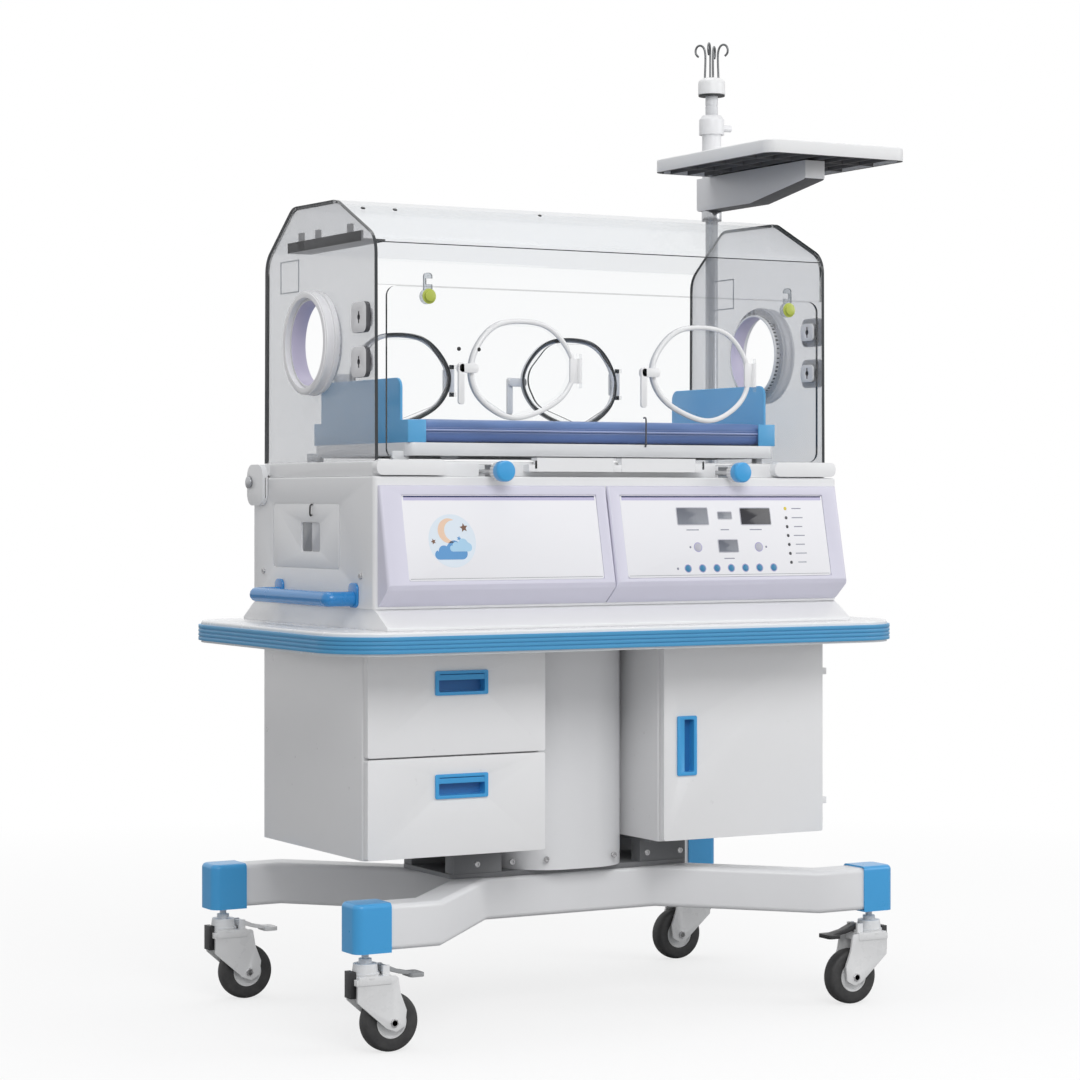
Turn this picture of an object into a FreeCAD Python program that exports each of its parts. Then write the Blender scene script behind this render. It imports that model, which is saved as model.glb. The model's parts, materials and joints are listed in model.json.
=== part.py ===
import FreeCAD, Part
import os
import re
import Sketcher

# Infant incubator on a castered stand, in millimetres, front toward -Y and up along +Z.
# Every size below is a cell of the spreadsheet, and the sub-parts take their sizes from its cells.

SIZES = {
    "table_length": "1150",
    "table_width": "696",
    "table_thick": "39",
    "table_corner": "105",
    "band_thick": "5",
    "wheel_diameter": "100",
    "wheel_width": "30",
    "wheel_trail": "43",
    "bar_width": "60",
    "bar_height": "76",
    "bar_wall": "3",
    "spine_offset": "71",
    "spine_reach": "187",
    "elbow_reach": "395",
    "column_width": "240",
    "column_depth": "260",
    "cabinet_width": "346",
    "cabinet_depth": "430",
    "cabinet_height": "354",
    "cabinet_inset": "121",
    "cabinet_gap": "56",
    "cabinet_wall": "12",
    "front_thick": "16",
    "skirt_height": "35",
    "skirt_flare": "48",
    "casing_length": "944",
    "casing_depth": "500",
    "casing_height": "224",
    "casing_wall": "8",
    "rim_height": "26",
    "hood_length": "920",
    "hood_front": "230",
    "hood_back": "225",
    "hood_height": "456",
    "sheet_thick": "6",
    "bend_radius": "45",
    "door_length": "880",
    "door_height": "=hood_height - 163",
    "port_width": "212",
    "port_height": "176",
    "port_spacing": "364",
    "iris_radius": "92",
    "mattress_length": "744",
    "mattress_width": "370",
    "mattress_thick": "43",
    "pole_radius": "12.5",
    "tray_length": "316",
    "tray_width": "411",
    "tray_rise": "118",
    "side_overhang": "53.5",
    "bar_bottom": "=wheel_diameter + 72",
    "base_top": "=bar_bottom + bar_height",
    "cabinet_bottom": "=base_top + cabinet_gap",
    "table_bottom": "=cabinet_bottom + cabinet_height",
    "table_top": "=table_bottom + table_thick",
    "casing_bottom": "=table_top + skirt_height",
    "deck_top": "=casing_bottom + casing_height",
    "rim_top": "=deck_top + rim_height",
    "hood_top": "=rim_top + hood_height",
    "tray_bottom": "=hood_top + tray_rise",
    "caster_x": "=table_length / 2 - 64",
    "caster_y": "=table_width / 2 - 51",
    "casing_end": "=casing_length / 2",
    "casing_face": "=casing_depth / 2",
    "hood_end": "=hood_length / 2",
    "cabinet_outer": "=cabinet_inset + cabinet_width",
    "cabinet_face": "=cabinet_depth / 2",
    "split_height": "=cabinet_bottom + cabinet_height * 0.49",
    "hinge_y": "=casing_face - 12",
    "hinge_height": "=deck_top - 8",
    "door_axis_y": "=0 - hood_front - 21",
    "door_axis_z": "=deck_top + 15",
    "door_bottom": "=rim_top + 3",
    "door_top": "=door_bottom + door_height",
    "port_level": "=door_bottom + door_height * 0.532",
    "latch_x": "=door_length / 2 - 72.5",
    "latch_z": "=door_top - 17",
    "iris_level": "=rim_top + hood_height * 0.456",
    "knob_x": "241",
    "knob_level": "=deck_top + 9",
    "frame_pivot_x": "=mattress_length / 2 + 18",
    "frame_level": "=deck_top + 14",
    "bed_level": "=deck_top + 38",
    "mattress_bottom": "=deck_top + 59",
    "pole_x": "=casing_end + 48",
    "pole_y": "=casing_face - 4",
}

X = FreeCAD.Vector(1, 0, 0)
Y = FreeCAD.Vector(0, 1, 0)
Z = FreeCAD.Vector(0, 0, 1)

doc = FreeCAD.newDocument("infant_incubator")
sheet = doc.addObject("Spreadsheet::Sheet", "dims")
for row, (word, value) in enumerate(SIZES.items(), 1):
    sheet.set("A%d" % row, word)
    sheet.set("B%d" % row, value)
    sheet.setAlias("B%d" % row, word)
doc.recompute()

finished = []
counter = {}


def bound(text):
    """An expression over the spreadsheet's cells."""
    words = r"[A-Za-z_][A-Za-z_0-9]*"
    return re.sub(words, lambda m: "dims." + m.group(0) if m.group(0) in SIZES else m.group(0), str(text))


def value(text):
    return float(sheet.evalExpression(bound(text).replace("dims.", "")))


def name_of(stem):
    counter[stem] = counter.get(stem, 0) + 1
    return "%s_%d" % (stem, counter[stem])


def put(obj, x="0", y="0", z="0"):
    """Bind an object's place, and keep the text so that it can be shifted later."""
    if not hasattr(obj, "PlaceText"):
        obj.addProperty("App::PropertyString", "PlaceText")
    obj.PlaceText = "%s|%s|%s" % (x, y, z)
    for axis, text in zip("xyz", (x, y, z)):
        obj.setExpression("Placement.Base." + axis, bound(text))
    return obj


def box(x0, x1, y0, y1, z0, z1):
    obj = doc.addObject("Part::Box", name_of("block"))
    obj.setExpression("Length", bound("(%s) - (%s)" % (x1, x0)))
    obj.setExpression("Width", bound("(%s) - (%s)" % (y1, y0)))
    obj.setExpression("Height", bound("(%s) - (%s)" % (z1, z0)))
    return put(obj, x0, y0, z0)


def side_box(side, x0, x1, y0, y1, z0, z1):
    """A block given for the +X side, on the side that the sign names."""
    if side < 0:
        x0, x1 = "-(%s)" % x1, "-(%s)" % x0
    return box(x0, x1, y0, y1, z0, z1)


TURNS = {"x": FreeCAD.Rotation(Y, 90), "y": FreeCAD.Rotation(X, -90), "z": FreeCAD.Rotation()}


def rod(axis, radius, x, y, z, length):
    obj = doc.addObject("Part::Cylinder", name_of("rod"))
    obj.Placement.Rotation = TURNS[axis]
    obj.setExpression("Radius", bound(radius))
    obj.setExpression("Height", bound(length))
    return put(obj, x, y, z)


def side_rod(side, radius, x, y, z, length):
    """A cylinder along X that starts at x on the +X side, or its mirror image."""
    start = x if side > 0 else "-(%s) - (%s)" % (x, length)
    return rod("x", radius, start, y, z, length)


def cone(axis, first, second, x, y, z, length):
    obj = doc.addObject("Part::Cone", name_of("cone"))
    obj.Placement.Rotation = TURNS[axis]
    obj.setExpression("Radius1", bound(first))
    obj.setExpression("Radius2", bound(second))
    obj.setExpression("Height", bound(length))
    return put(obj, x, y, z)


def ball(radius, x, y, z):
    obj = doc.addObject("Part::Sphere", name_of("ball"))
    obj.setExpression("Radius", bound(radius))
    return put(obj, x, y, z)


def ring(axis, major, minor, x, y, z):
    obj = doc.addObject("Part::Torus", name_of("ring"))
    obj.Placement.Rotation = TURNS[axis]
    obj.setExpression("Radius1", bound(major))
    obj.setExpression("Radius2", bound(minor))
    return put(obj, x, y, z)


def fuse(*items):
    obj = doc.addObject("Part::MultiFuse", name_of("joined"))
    obj.Shapes = list(items)
    obj.Refine = True
    return obj


def cut(base, *tools):
    obj = doc.addObject("Part::Cut", name_of("cut"))
    obj.Base = base
    obj.Tool = tools[0] if len(tools) == 1 else fuse(*tools)
    obj.Refine = True
    return obj


def profile(body, role, points):
    """A closed sketch whose corners are bound to expressions."""
    sketch = body.newObject("Sketcher::SketchObject", name_of("sketch"))
    origin_plane = next(f for f in body.Origin.OriginFeatures if f.Role == role)
    sketch.AttachmentSupport = [(origin_plane, "")]
    sketch.MapMode = "FlatFace"
    corners = [FreeCAD.Vector(value(a), value(b), 0) for a, b in points]
    count = len(corners)
    for i in range(count):
        sketch.addGeometry(Part.LineSegment(corners[i], corners[(i + 1) % count]), False)
    for i in range(count):
        sketch.addConstraint(Sketcher.Constraint("Coincident", i, 2, (i + 1) % count, 1))
    for i, (a, b) in enumerate(points):
        for kind, text, number in (("DistanceX", a, corners[i].x), ("DistanceY", b, corners[i].y)):
            k = sketch.addConstraint(Sketcher.Constraint(kind, -1, 1, i, 1, number))
            sketch.setExpression("Constraints[%d]" % k, bound(text))
    return sketch


def prism(role, points, start, end):
    """A body padded from a profile, from start to end along the plane's own axis."""
    body = doc.addObject("PartDesign::Body", name_of("body"))
    sketch = profile(body, role + "_Plane", points)
    pad = body.newObject("PartDesign::Pad", name_of("pad"))
    pad.Profile = sketch
    pad.setExpression("Length", bound("(%s) - (%s)" % (end, start)))
    if role == "XY":
        put(body, z=start)
    elif role == "YZ":
        put(body, x=start)
    else:
        put(body, y=end)
    doc.recompute()
    return body


def side_prism(side, points, start, end):
    """A YZ profile padded along X on the side that the sign names."""
    if side < 0:
        start, end = "-(%s)" % end, "-(%s)" % start
    return prism("YZ", points, start, end)


def soften(body, radius, test):
    """Round the edges of a body that pass a test."""
    tip = body.Tip
    edges = ["Edge%d" % i for i, edge in enumerate(tip.Shape.Edges, 1) if test(edge)]
    fillet = body.newObject("PartDesign::Fillet", name_of("fillet"))
    fillet.Base = (tip, edges)
    fillet.setExpression("Radius", bound(radius))
    doc.recompute()
    return body


def along(axis):
    """Test for straight edges along an axis of the body."""
    def test(edge):
        size = edge.BoundBox
        spans = (size.XLength, size.YLength, size.ZLength)
        index = "xyz".index(axis)
        return spans[index] > 0.5 and sum(spans) - spans[index] < 1e-4
    return test


def at_level(axis, level):
    """Test for edges that lie wholly in a plane across an axis of the body."""
    def test(edge):
        size = edge.BoundBox
        low = (size.XMin, size.YMin, size.ZMin)["xyz".index(axis)]
        high = (size.XMax, size.YMax, size.ZMax)["xyz".index(axis)]
        return abs(low - level) < 1e-3 and abs(high - level) < 1e-3
    return test


def slab(x0, x1, y0, y1, z0, z1, corner, edge=None):
    """A plate with rounded upright corners and, when asked, a rounded top edge."""
    points = [(x0, y0), (x1, y0), (x1, y1), (x0, y1)]
    body = soften(prism("XY", points, z0, z1), corner, along("z"))
    if edge:
        soften(body, edge, at_level("z", value("(%s) - (%s)" % (z1, z0))))
    return body


def panel(x0, x1, z0, z1, y0, y1, corner):
    """A plate standing across Y with rounded corners."""
    points = [(x0, z0), (x1, z0), (x1, z1), (x0, z1)]
    return soften(prism("XZ", points, y0, y1), corner, along("y"))


def end_panel(side, y0, y1, z0, z1, x0, x1, corner):
    """A plate standing across X with rounded corners."""
    points = [(y0, z0), (y1, z0), (y1, z1), (y0, z1)]
    return soften(side_prism(side, points, x0, x1), corner, along("x"))


def done(obj, label):
    """Name a finished sub-part, move it to the frame's origin and list it for export."""
    if hasattr(obj, "PlaceText"):
        texts = obj.PlaceText.split("|")
    else:
        texts = ["0", "0", "0"]
        obj.addProperty("App::PropertyString", "PlaceText")
    obj.setExpression("Placement.Base.x", bound("%s - side_overhang" % texts[0]))
    obj.Label = label
    finished.append((label, obj))
    return obj


# Base: two bent bars on four casters

def base_bar(turn):
    """One bent bar; turn is -1 for the front bar and 1 for the back bar."""
    def outline(half, reach):
        shift = "(%s) * tan(atan2(caster_y - spine_offset; elbow_reach - spine_reach) / 2)" % half
        inner = [
            ("-(%s)" % reach, "caster_y - (%s)" % half),
            ("-elbow_reach - %s" % shift, "caster_y - (%s)" % half),
            ("-spine_reach - %s" % shift, "spine_offset - (%s)" % half),
        ]
        outer = [
            ("-spine_reach + %s" % shift, "spine_offset + (%s)" % half),
            ("-elbow_reach + %s" % shift, "caster_y + (%s)" % half),
            ("-(%s)" % reach, "caster_y + (%s)" % half),
        ]
        right_inner = [("-(%s)" % a, b) for a, b in reversed(inner)]
        right_outer = [("-(%s)" % a, b) for a, b in reversed(outer)]
        loop = inner + right_inner + right_outer + outer
        return [(a, b if turn > 0 else "-(%s)" % b) for a, b in loop]
    outside = prism("XY", outline("bar_width / 2", "caster_x - 20"), "bar_bottom", "base_top")
    soften(outside, "9", lambda e: across_level(e, value("bar_height")))
    bore = outline("bar_width / 2 - bar_wall", "caster_x")
    hollow = prism("XY", bore, "bar_bottom + bar_wall", "base_top - bar_wall")
    return cut(outside, hollow)


def across_level(edge, height):
    """Test for the long edges of a bar, at its top and bottom but not across its ends."""
    size = edge.BoundBox
    flat = size.ZLength < 1e-4 and (abs(size.ZMin) < 1e-3 or abs(size.ZMin - height) < 1e-3)
    return flat and size.XLength > 1


def base_bars():
    ties = []
    for side in (-1, 1):
        inner = "spine_offset - bar_width / 2 + 2"
        tie = side_box(side, "118", "158", "-(%s)" % inner, inner, "bar_bottom + 12", "base_top - 12")
        ties.append(tie)
    done(fuse(base_bar(-1), base_bar(1), *ties), "base_bars")


def base_end_caps():
    caps = []
    for sx in (-1, 1):
        for sy in (-1, 1):
            x0 = "%d * caster_x" % sx
            y0 = "%d * caster_y" % sy
            whole = slab(x0 + " - 33 - %d" % (24 if sx > 0 else 0), x0 + " + 33 + %d" % (0 if sx > 0 else 24),
                         y0 + " - 33", y0 + " + 33", "bar_bottom - 3", "base_top + 3", "16", "8")
            spare = side_box(sx, "caster_x - 60", "caster_x - 33", y0 + " - 40", y0 + " + 40",
                             "bar_bottom - 10", "base_top + 10")
            body = cut(whole, spare)
            pocket = side_box(sx, "caster_x - 40", "caster_x - 20", y0 + " - bar_width / 2 - 0.02",
                              y0 + " + bar_width / 2 + 0.02", "bar_bottom - 0.02", "base_top + 0.02")
            stem = rod("z", "6.05", x0, y0, "bar_bottom - 13", "60")
            caps.append(cut(body, pocket, stem))
    done(fuse(*caps), "base_end_caps")


def base_centre_plate():
    plate = slab("-245", "245", "-100", "100", "base_top", "base_top + 8", "14")
    items = [plate]
    for side in (-1, 1):
        outer = "cabinet_inset + 126"
        items.append(side_box(side, "cabinet_inset + 23", outer, "-130", "130",
                              "cabinet_bottom - 10", "cabinet_bottom"))
        for y0 in ("-96", "66"):
            items.append(side_box(side, "cabinet_inset + 23", "cabinet_inset + 120", y0, y0 + " + 30",
                                  "base_top + 8", "cabinet_bottom - 10"))
    done(fuse(*items), "base_centre_plate")


def centre_column():
    body = slab("-column_width / 2", "column_width / 2", "-column_depth / 2", "column_depth / 2",
                "base_top + 8", "table_bottom", "column_width * 0.38")
    hollow = slab("-column_width / 2 + 5", "column_width / 2 - 5", "-column_depth / 2 + 5",
                  "column_depth / 2 - 5", "base_top + 14", "table_bottom", "column_width * 0.38 - 5")
    done(cut(body, hollow), "centre_column")


# Casters: fork, wheel and brake pedal

def caster(sx, sy, place):
    """One swivel caster; its wheel trails toward the middle of the stand."""
    x0 = "%d * caster_x" % sx
    y0 = "%d * caster_y" % sy
    wheel_x = "%s - %d * wheel_trail" % (x0, sx)
    axle_z = "wheel_diameter / 2"
    top = "bar_bottom - 22"
    stem = rod("z", "6", x0, y0, top, "69")
    nut = rod("z", "11", x0, y0, top, "8")
    head = cone("z", "23", "20", x0, y0, top + " - 24", "24")
    crown = box(x0 + (" - 38" if sx > 0 else " - 22"), x0 + (" + 22" if sx > 0 else " + 38"),
                y0 + " - 24", y0 + " + 24", top + " - 34", top + " - 20")
    cheeks = []
    for sign in (-1, 1):
        low, high = ("17.5", "22.5") if sign > 0 else ("-22.5", "-17.5")
        points = [
            (x0 + " + %d * 24" % sx, top + " - 22"),
            (x0 + " - %d * 50" % sx, top + " - 22"),
            (wheel_x + " - %d * 12" % sx, axle_z + " + 48"),
            (wheel_x + " - %d * 23" % sx, axle_z + " + 20"),
            (wheel_x + " - %d * 20" % sx, axle_z + " - 6"),
            (wheel_x + " - %d * 4" % sx, axle_z + " - 15"),
            (wheel_x + " + %d * 14" % sx, axle_z + " - 8"),
            (x0 + " + %d * 24" % sx, axle_z + " + 38"),
        ]
        cheek = prism("XZ", points, y0 + " + " + low, y0 + " + " + high)
        cheeks.append(soften(cheek, "5", along("y")))
    guard = side_box(sx, "caster_x + 22", "caster_x + 32", y0 + " - 12", y0 + " + 12", axle_z + " + 44",
                     top + " - 12")
    strut = side_box(sx, "caster_x + 16", "caster_x + 26", y0 + " - 23", y0 + " + 23", top + " - 34",
                     top + " - 24")
    axle = rod("y", "5", wheel_x, y0 + " - 25", axle_z, "50")
    lugs = []
    for sign in (-1, 1):
        centre = y0 + " + %d * 14" % sign
        lugs.append(box(x0 + " - %d * 31 - 6" % sx, x0 + " - %d * 31 + 6" % sx,
                        centre + " - 3", centre + " + 3", top + " - 22", top + " - 4"))
    pin = rod("y", "2.5", x0 + " - %d * 31" % sx, y0 + " - 17", top + " - 10", "34")
    fork = fuse(stem, nut, head, crown, axle, pin, guard, strut, *(cheeks + lugs))
    dome = rod("y", "wheel_diameter / 2 + 4", wheel_x, y0 + " - 16", axle_z, "32")
    core = box(wheel_x + " - 60", wheel_x + " + 60", y0 + " - 16", y0 + " + 16", "0", top + " - 34")
    bosses = [rod("y", "5.01", wheel_x, y0 + " - 16", axle_z, "32")]
    room = cut(fuse(dome, core), *bosses)
    done(cut(fork, room), place + "_fork")
    wheel_and_pedal(sx, x0, y0, wheel_x, axle_z, top, place)


def wheel_and_pedal(sx, x0, y0, wheel_x, axle_z, top, place):
    radius = "wheel_diameter / 2"
    tread = rod("y", radius, wheel_x, y0 + " - wheel_width / 2 + 3", axle_z, "wheel_width - 6")
    near = cone("y", radius + " - 3", radius, wheel_x, y0 + " - wheel_width / 2", axle_z, "3")
    far = cone("y", radius, radius + " - 3", wheel_x, y0 + " + wheel_width / 2 - 3", axle_z, "3")
    tyre = fuse(tread, near, far)
    bore = rod("y", "5.05", wheel_x, y0 + " - 30", axle_z, "60")
    dish = rod("y", "wheel_diameter * 0.33", wheel_x, y0 + " - wheel_width / 2", axle_z, "4")
    dish_far = rod("y", "wheel_diameter * 0.33", wheel_x, y0 + " + wheel_width / 2 - 4", axle_z, "4")
    hub = rod("y", "12", wheel_x, y0 + " - wheel_width / 2", axle_z, "wheel_width")
    turned = cut(tyre, dish, dish_far)
    done(cut(fuse(turned, hub), bore), place + "_wheel")
    far_x = " - %d * 88" % sx
    points = [
        (x0 + " - %d * 25" % sx, top + " - 15"),
        (x0 + " - %d * 25" % sx, top + " - 5"),
        (x0 + " - %d * 36" % sx, top + " - 5"),
        (x0 + " - %d * 60" % sx, top + " - 15"),
        (x0 + far_x, top + " - 21"),
        (x0 + far_x, top + " - 26"),
        (x0 + " - %d * 58" % sx, top + " - 21"),
        (x0 + " - %d * 37" % sx, top + " - 15"),
    ]
    lever = prism("XZ", points, y0 + " - 10.5", y0 + " + 10.5")
    pad = slab(x0 + far_x + " - 12", x0 + far_x + " + 14", y0 + " - 19", y0 + " + 19",
               top + " - 28", top + " - 21", "6")
    bore = rod("y", "2.55", x0 + " - %d * 31" % sx, y0 + " - 20", top + " - 10", "40")
    done(cut(fuse(lever, pad), bore), place + "_pedal")


# Cabinets, drawers and door

def cabinet_shell(side):
    outside = slab("cabinet_inset", "cabinet_outer", "-cabinet_face + front_thick + 1", "cabinet_face",
                   "cabinet_bottom", "table_bottom", "6") if side > 0 else \
        slab("-cabinet_outer", "-cabinet_inset", "-cabinet_face + front_thick + 1", "cabinet_face",
             "cabinet_bottom", "table_bottom", "6")
    hollow = side_box(side, "cabinet_inset + cabinet_wall", "cabinet_outer - cabinet_wall",
                      "-cabinet_face", "cabinet_face - cabinet_wall",
                      "cabinet_bottom + cabinet_wall", "table_bottom - cabinet_wall")
    return cut(outside, hollow)


def left_cabinet():
    items = [cabinet_shell(-1)]
    items.append(box("-cabinet_outer + cabinet_wall - 1", "-cabinet_inset - cabinet_wall + 1",
                     "-cabinet_face + front_thick + 1", "cabinet_face - cabinet_wall + 1",
                     "split_height - 5", "split_height + 5"))
    for level in ("cabinet_bottom + 70", "split_height + 66"):
        for x0 in ("-cabinet_outer + cabinet_wall - 1", "-cabinet_inset - cabinet_wall - 11"):
            items.append(box(x0, x0 + " + 12", "-cabinet_face + 30", "cabinet_face - 30",
                             level, level + " + 14"))
    done(fuse(*items), "left_cabinet")


def drawer(label, low, high, rail, handle_z):
    """A drawer with lips that ride on the cabinet's runners."""
    left = "-cabinet_outer + cabinet_wall + 12"
    right = "-cabinet_inset - cabinet_wall - 12"
    back = "cabinet_face - cabinet_wall - 24"
    front = panel("-cabinet_outer + 1", "-cabinet_inset - 1", low, high,
                  "-cabinet_face", "-cabinet_face + front_thick", "4")
    tub = box(left, right, "-cabinet_face + front_thick - 1", back, low + " + 18", rail + " + 40")
    inside = box(left + " + 3", right + " - 3", "-cabinet_face + front_thick", back + " - 3",
                 low + " + 21", rail + " + 41")
    lips = []
    for x0 in (left + " - 11", right):
        lips.append(box(x0, x0 + " + 11", "-cabinet_face + 32", back, rail + " + 14.05", rail + " + 18"))
    recess = rod_recess("(-cabinet_outer - cabinet_inset) / 2 + 6.5", handle_z)
    shell = cut(tub, inside)
    whole = cut(fuse(front, shell, *lips), recess)
    done(whole, label)


def rod_recess(x, z):
    """The pocket that takes a drawer's handle cup."""
    return panel(x + " - 47", x + " + 47", z + " - 18", z + " + 18", "-cabinet_face - 1",
                 "-cabinet_face + front_thick + 2", "4")


def drawer_handle(label, z):
    x = "(-cabinet_outer - cabinet_inset) / 2 + 6.5"
    flange = panel(x + " - 51", x + " + 51", z + " - 21", z + " + 21", "-cabinet_face - 3",
                   "-cabinet_face", "3")
    cup = panel(x + " - 46.9", x + " + 46.9", z + " - 17.9", z + " + 17.9", "-cabinet_face - 1",
                "-cabinet_face + front_thick + 1.9", "4")
    hollow = panel(x + " - 44.5", x + " + 44.5", z + " - 15.5", z + " + 15.5", "-cabinet_face - 4",
                   "-cabinet_face + front_thick - 1", "3")
    grip = box(x + " - 45.5", x + " + 45.5", "-cabinet_face - 2", "-cabinet_face + 3", z + " + 5", z + " + 14")
    done(fuse(cut(fuse(flange, cup), hollow), grip), label)


def right_cabinet():
    items = [cabinet_shell(1)]
    items.append(box("cabinet_inset + cabinet_wall - 1", "cabinet_outer - cabinet_wall + 1",
                     "-cabinet_face + 60", "cabinet_face - cabinet_wall + 1",
                     "split_height - 3", "split_height + 3"))
    for level in ("cabinet_bottom + 40", "table_bottom - 76"):
        knuckle = rod("z", "5", "cabinet_outer + 5", "-cabinet_face + 22", level, "12")
        upper = rod("z", "5", "cabinet_outer + 5", "-cabinet_face + 22", level + " + 24.4", "12")
        pin = rod("z", "2.5", "cabinet_outer + 5", "-cabinet_face + 22", level, "36.4")
        leaf = box("cabinet_outer - 1", "cabinet_outer + 5", "-cabinet_face + 24", "-cabinet_face + 46",
                   level, level + " + 12")
        leaf_up = box("cabinet_outer - 1", "cabinet_outer + 5", "-cabinet_face + 24",
                      "-cabinet_face + 46", level + " + 24.4", level + " + 36.4")
        items += [knuckle, upper, pin, leaf, leaf_up]
    done(fuse(*items), "right_cabinet")


def cabinet_door():
    front = panel("cabinet_inset + 1", "cabinet_outer - 1", "cabinet_bottom + 2", "table_bottom - 3",
                  "-cabinet_face", "-cabinet_face + front_thick", "4")
    items = [front]
    bores = []
    for level in ("cabinet_bottom + 40", "table_bottom - 76"):
        z0 = level + " + 12.2"
        items.append(rod("z", "5", "cabinet_outer + 5", "-cabinet_face + 22", z0, "12"))
        items.append(box("cabinet_outer + 2", "cabinet_outer + 8", "-cabinet_face + 4",
                         "-cabinet_face + 20", z0, z0 + " + 12"))
        items.append(box("cabinet_outer - 12", "cabinet_outer + 8", "-cabinet_face + 1",
                         "-cabinet_face + 7", z0, z0 + " + 12"))
        bores.append(rod("z", "2.55", "cabinet_outer + 5", "-cabinet_face + 22", level, "40"))
    pocket = panel("cabinet_inset + 32", "cabinet_inset + 65", "split_height - 52", "split_height + 47",
                   "-cabinet_face - 1", "-cabinet_face + front_thick + 1", "4")
    done(cut(fuse(*items), pocket, *bores), "cabinet_door")


def cabinet_door_handle():
    z0 = "split_height - 52"
    z1 = "split_height + 47"
    flange = panel("cabinet_inset + 28", "cabinet_inset + 69", z0 + " - 4", z1 + " + 4",
                   "-cabinet_face - 3", "-cabinet_face", "3")
    cup = panel("cabinet_inset + 32.1", "cabinet_inset + 64.9", z0 + " + 0.1", z1 + " - 0.1",
                "-cabinet_face - 1", "-cabinet_face + front_thick", "4")
    hollow = panel("cabinet_inset + 34.5", "cabinet_inset + 62.5", z0 + " + 2.5", z1 + " - 2.5",
                   "-cabinet_face - 4", "-cabinet_face + front_thick - 3", "3")
    grip = box("cabinet_inset + 33.5", "cabinet_inset + 43", "-cabinet_face - 2", "-cabinet_face + 3",
               z0 + " + 1.5", z1 + " - 1.5")
    done(fuse(cut(fuse(flange, cup), hollow), grip), "cabinet_door_handle")


# Table: rounded board with an edge band

def table_top():
    half_x = "table_length / 2 - band_thick"
    half_y = "table_width / 2 - band_thick"
    board = slab("-(%s)" % half_x, half_x, "-(%s)" % half_y, half_y, "table_bottom", "table_top",
                 "table_corner", "4")
    done(board, "table_top")


def table_edge_band():
    low = "table_bottom + 4"
    high = "table_top - 7"
    inner_x = "table_length / 2 - band_thick"
    inner_y = "table_width / 2 - band_thick"
    outside = slab("-table_length / 2", "table_length / 2", "-table_width / 2", "table_width / 2",
                   low, high, "table_corner + band_thick")
    inside = slab("-(%s)" % inner_x, inner_x, "-(%s)" % inner_y, inner_y, low + " - 1", high + " + 1",
                  "table_corner")
    band = cut(outside, inside)
    for level in ("7", "14", "21"):
        groove_out = slab("-table_length / 2 - 1", "table_length / 2 + 1", "-table_width / 2 - 1",
                          "table_width / 2 + 1", low + " + %s - 1" % level, low + " + %s + 1" % level,
                          "table_corner + band_thick")
        groove_in = slab("-table_length / 2 + 1.5", "table_length / 2 - 1.5", "-table_width / 2 + 1.5",
                         "table_width / 2 - 1.5", low + " + %s - 2" % level,
                         low + " + %s + 2" % level, "table_corner + band_thick - 1.5")
        band = cut(band, cut(groove_out, groove_in))
    done(band, "table_edge_band")


# Lower casing, its skirt, fascias and controls

def casing_skirt():
    half = "casing_face + skirt_flare"
    points = [
        ("-(%s)" % half, "table_top"),
        (half, "table_top"),
        (half, "table_top + 5"),
        ("casing_face + 5", "casing_bottom - 4"),
        ("casing_face - 3", "casing_bottom"),
        ("-casing_face + 3", "casing_bottom"),
        ("-casing_face - 5", "casing_bottom - 4"),
        ("-(%s)" % half, "table_top + 5"),
    ]
    body = prism("YZ", points, "-casing_end + 2", "casing_end - 2")
    hollow = box("-casing_end + 20", "casing_end - 20", "-casing_face + 20", "casing_face - 20",
                 "table_top - 1", "casing_bottom + 1")
    done(cut(body, hollow), "casing_skirt")


def lower_casing():
    body = slab("-casing_end", "casing_end", "-casing_face", "casing_face", "casing_bottom",
                "deck_top", "8", "3")
    hollow = box("-casing_end + casing_wall", "casing_end - casing_wall", "-casing_face + casing_wall",
                 "casing_face - casing_wall", "casing_bottom - 1", "deck_top - casing_wall")
    vents = []
    for sy in (-1, 1):
        for sx in (-1, 1):
            x0 = "%d * 210" % sx
            y0 = "%d * (mattress_width / 2 + 14)" % sy
            vents.append(slab(x0 + " - 150", x0 + " + 150", y0 + " - 6", y0 + " + 6",
                              "deck_top - 20", "deck_top + 1", "5"))
    details = end_recesses()
    shell = cut(body, hollow, *(vents + details))
    blocks = []
    for side in (-1, 1):
        y0 = "-mattress_width / 2 - 2"
        blocks.append(side_box(side, "knob_x - 14", "knob_x + 14", y0, y0 + " + 14",
                               "deck_top - 1", "knob_level + 12"))
    for shift in ("-7", "0", "7"):
        blocks.append(box("-casing_end + 73 + %s" % shift, "-casing_end + 75 + %s" % shift,
                          "casing_face - 6.5", "casing_face - 1", "casing_bottom + 40",
                          "casing_bottom + 44"))
    bores = [rod("y", "4.05", "%d * knob_x" % side, "-mattress_width / 2 - 10", "knob_level", "40")
             for side in (-1, 1)]
    done(cut(fuse(shell, *blocks), *bores), "lower_casing")


def end_recesses():
    """Shallow recesses of the casing's left and right end walls, and the mains inlet's pocket."""
    tools = []
    for side in (-1, 1):
        tools.append(end_panel(side, "-38", "41", "casing_bottom + 93", "casing_bottom + 145",
                               "casing_end - 3", "casing_end + 1", "6"))
        outer = end_panel(side, "-118", "160", "casing_bottom + 63", "casing_bottom + 179",
                          "casing_end - 1.2", "casing_end + 1", "10")
        inner = end_panel(side, "-115", "157", "casing_bottom + 66", "casing_bottom + 176",
                          "casing_end - 2", "casing_end + 2", "8")
        tools.append(cut(outer, inner))
    tools.append(box("-casing_end + 60", "-casing_end + 88", "casing_face - 6", "casing_face + 1",
                     "casing_bottom + 30", "casing_bottom + 54"))
    return tools


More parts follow.
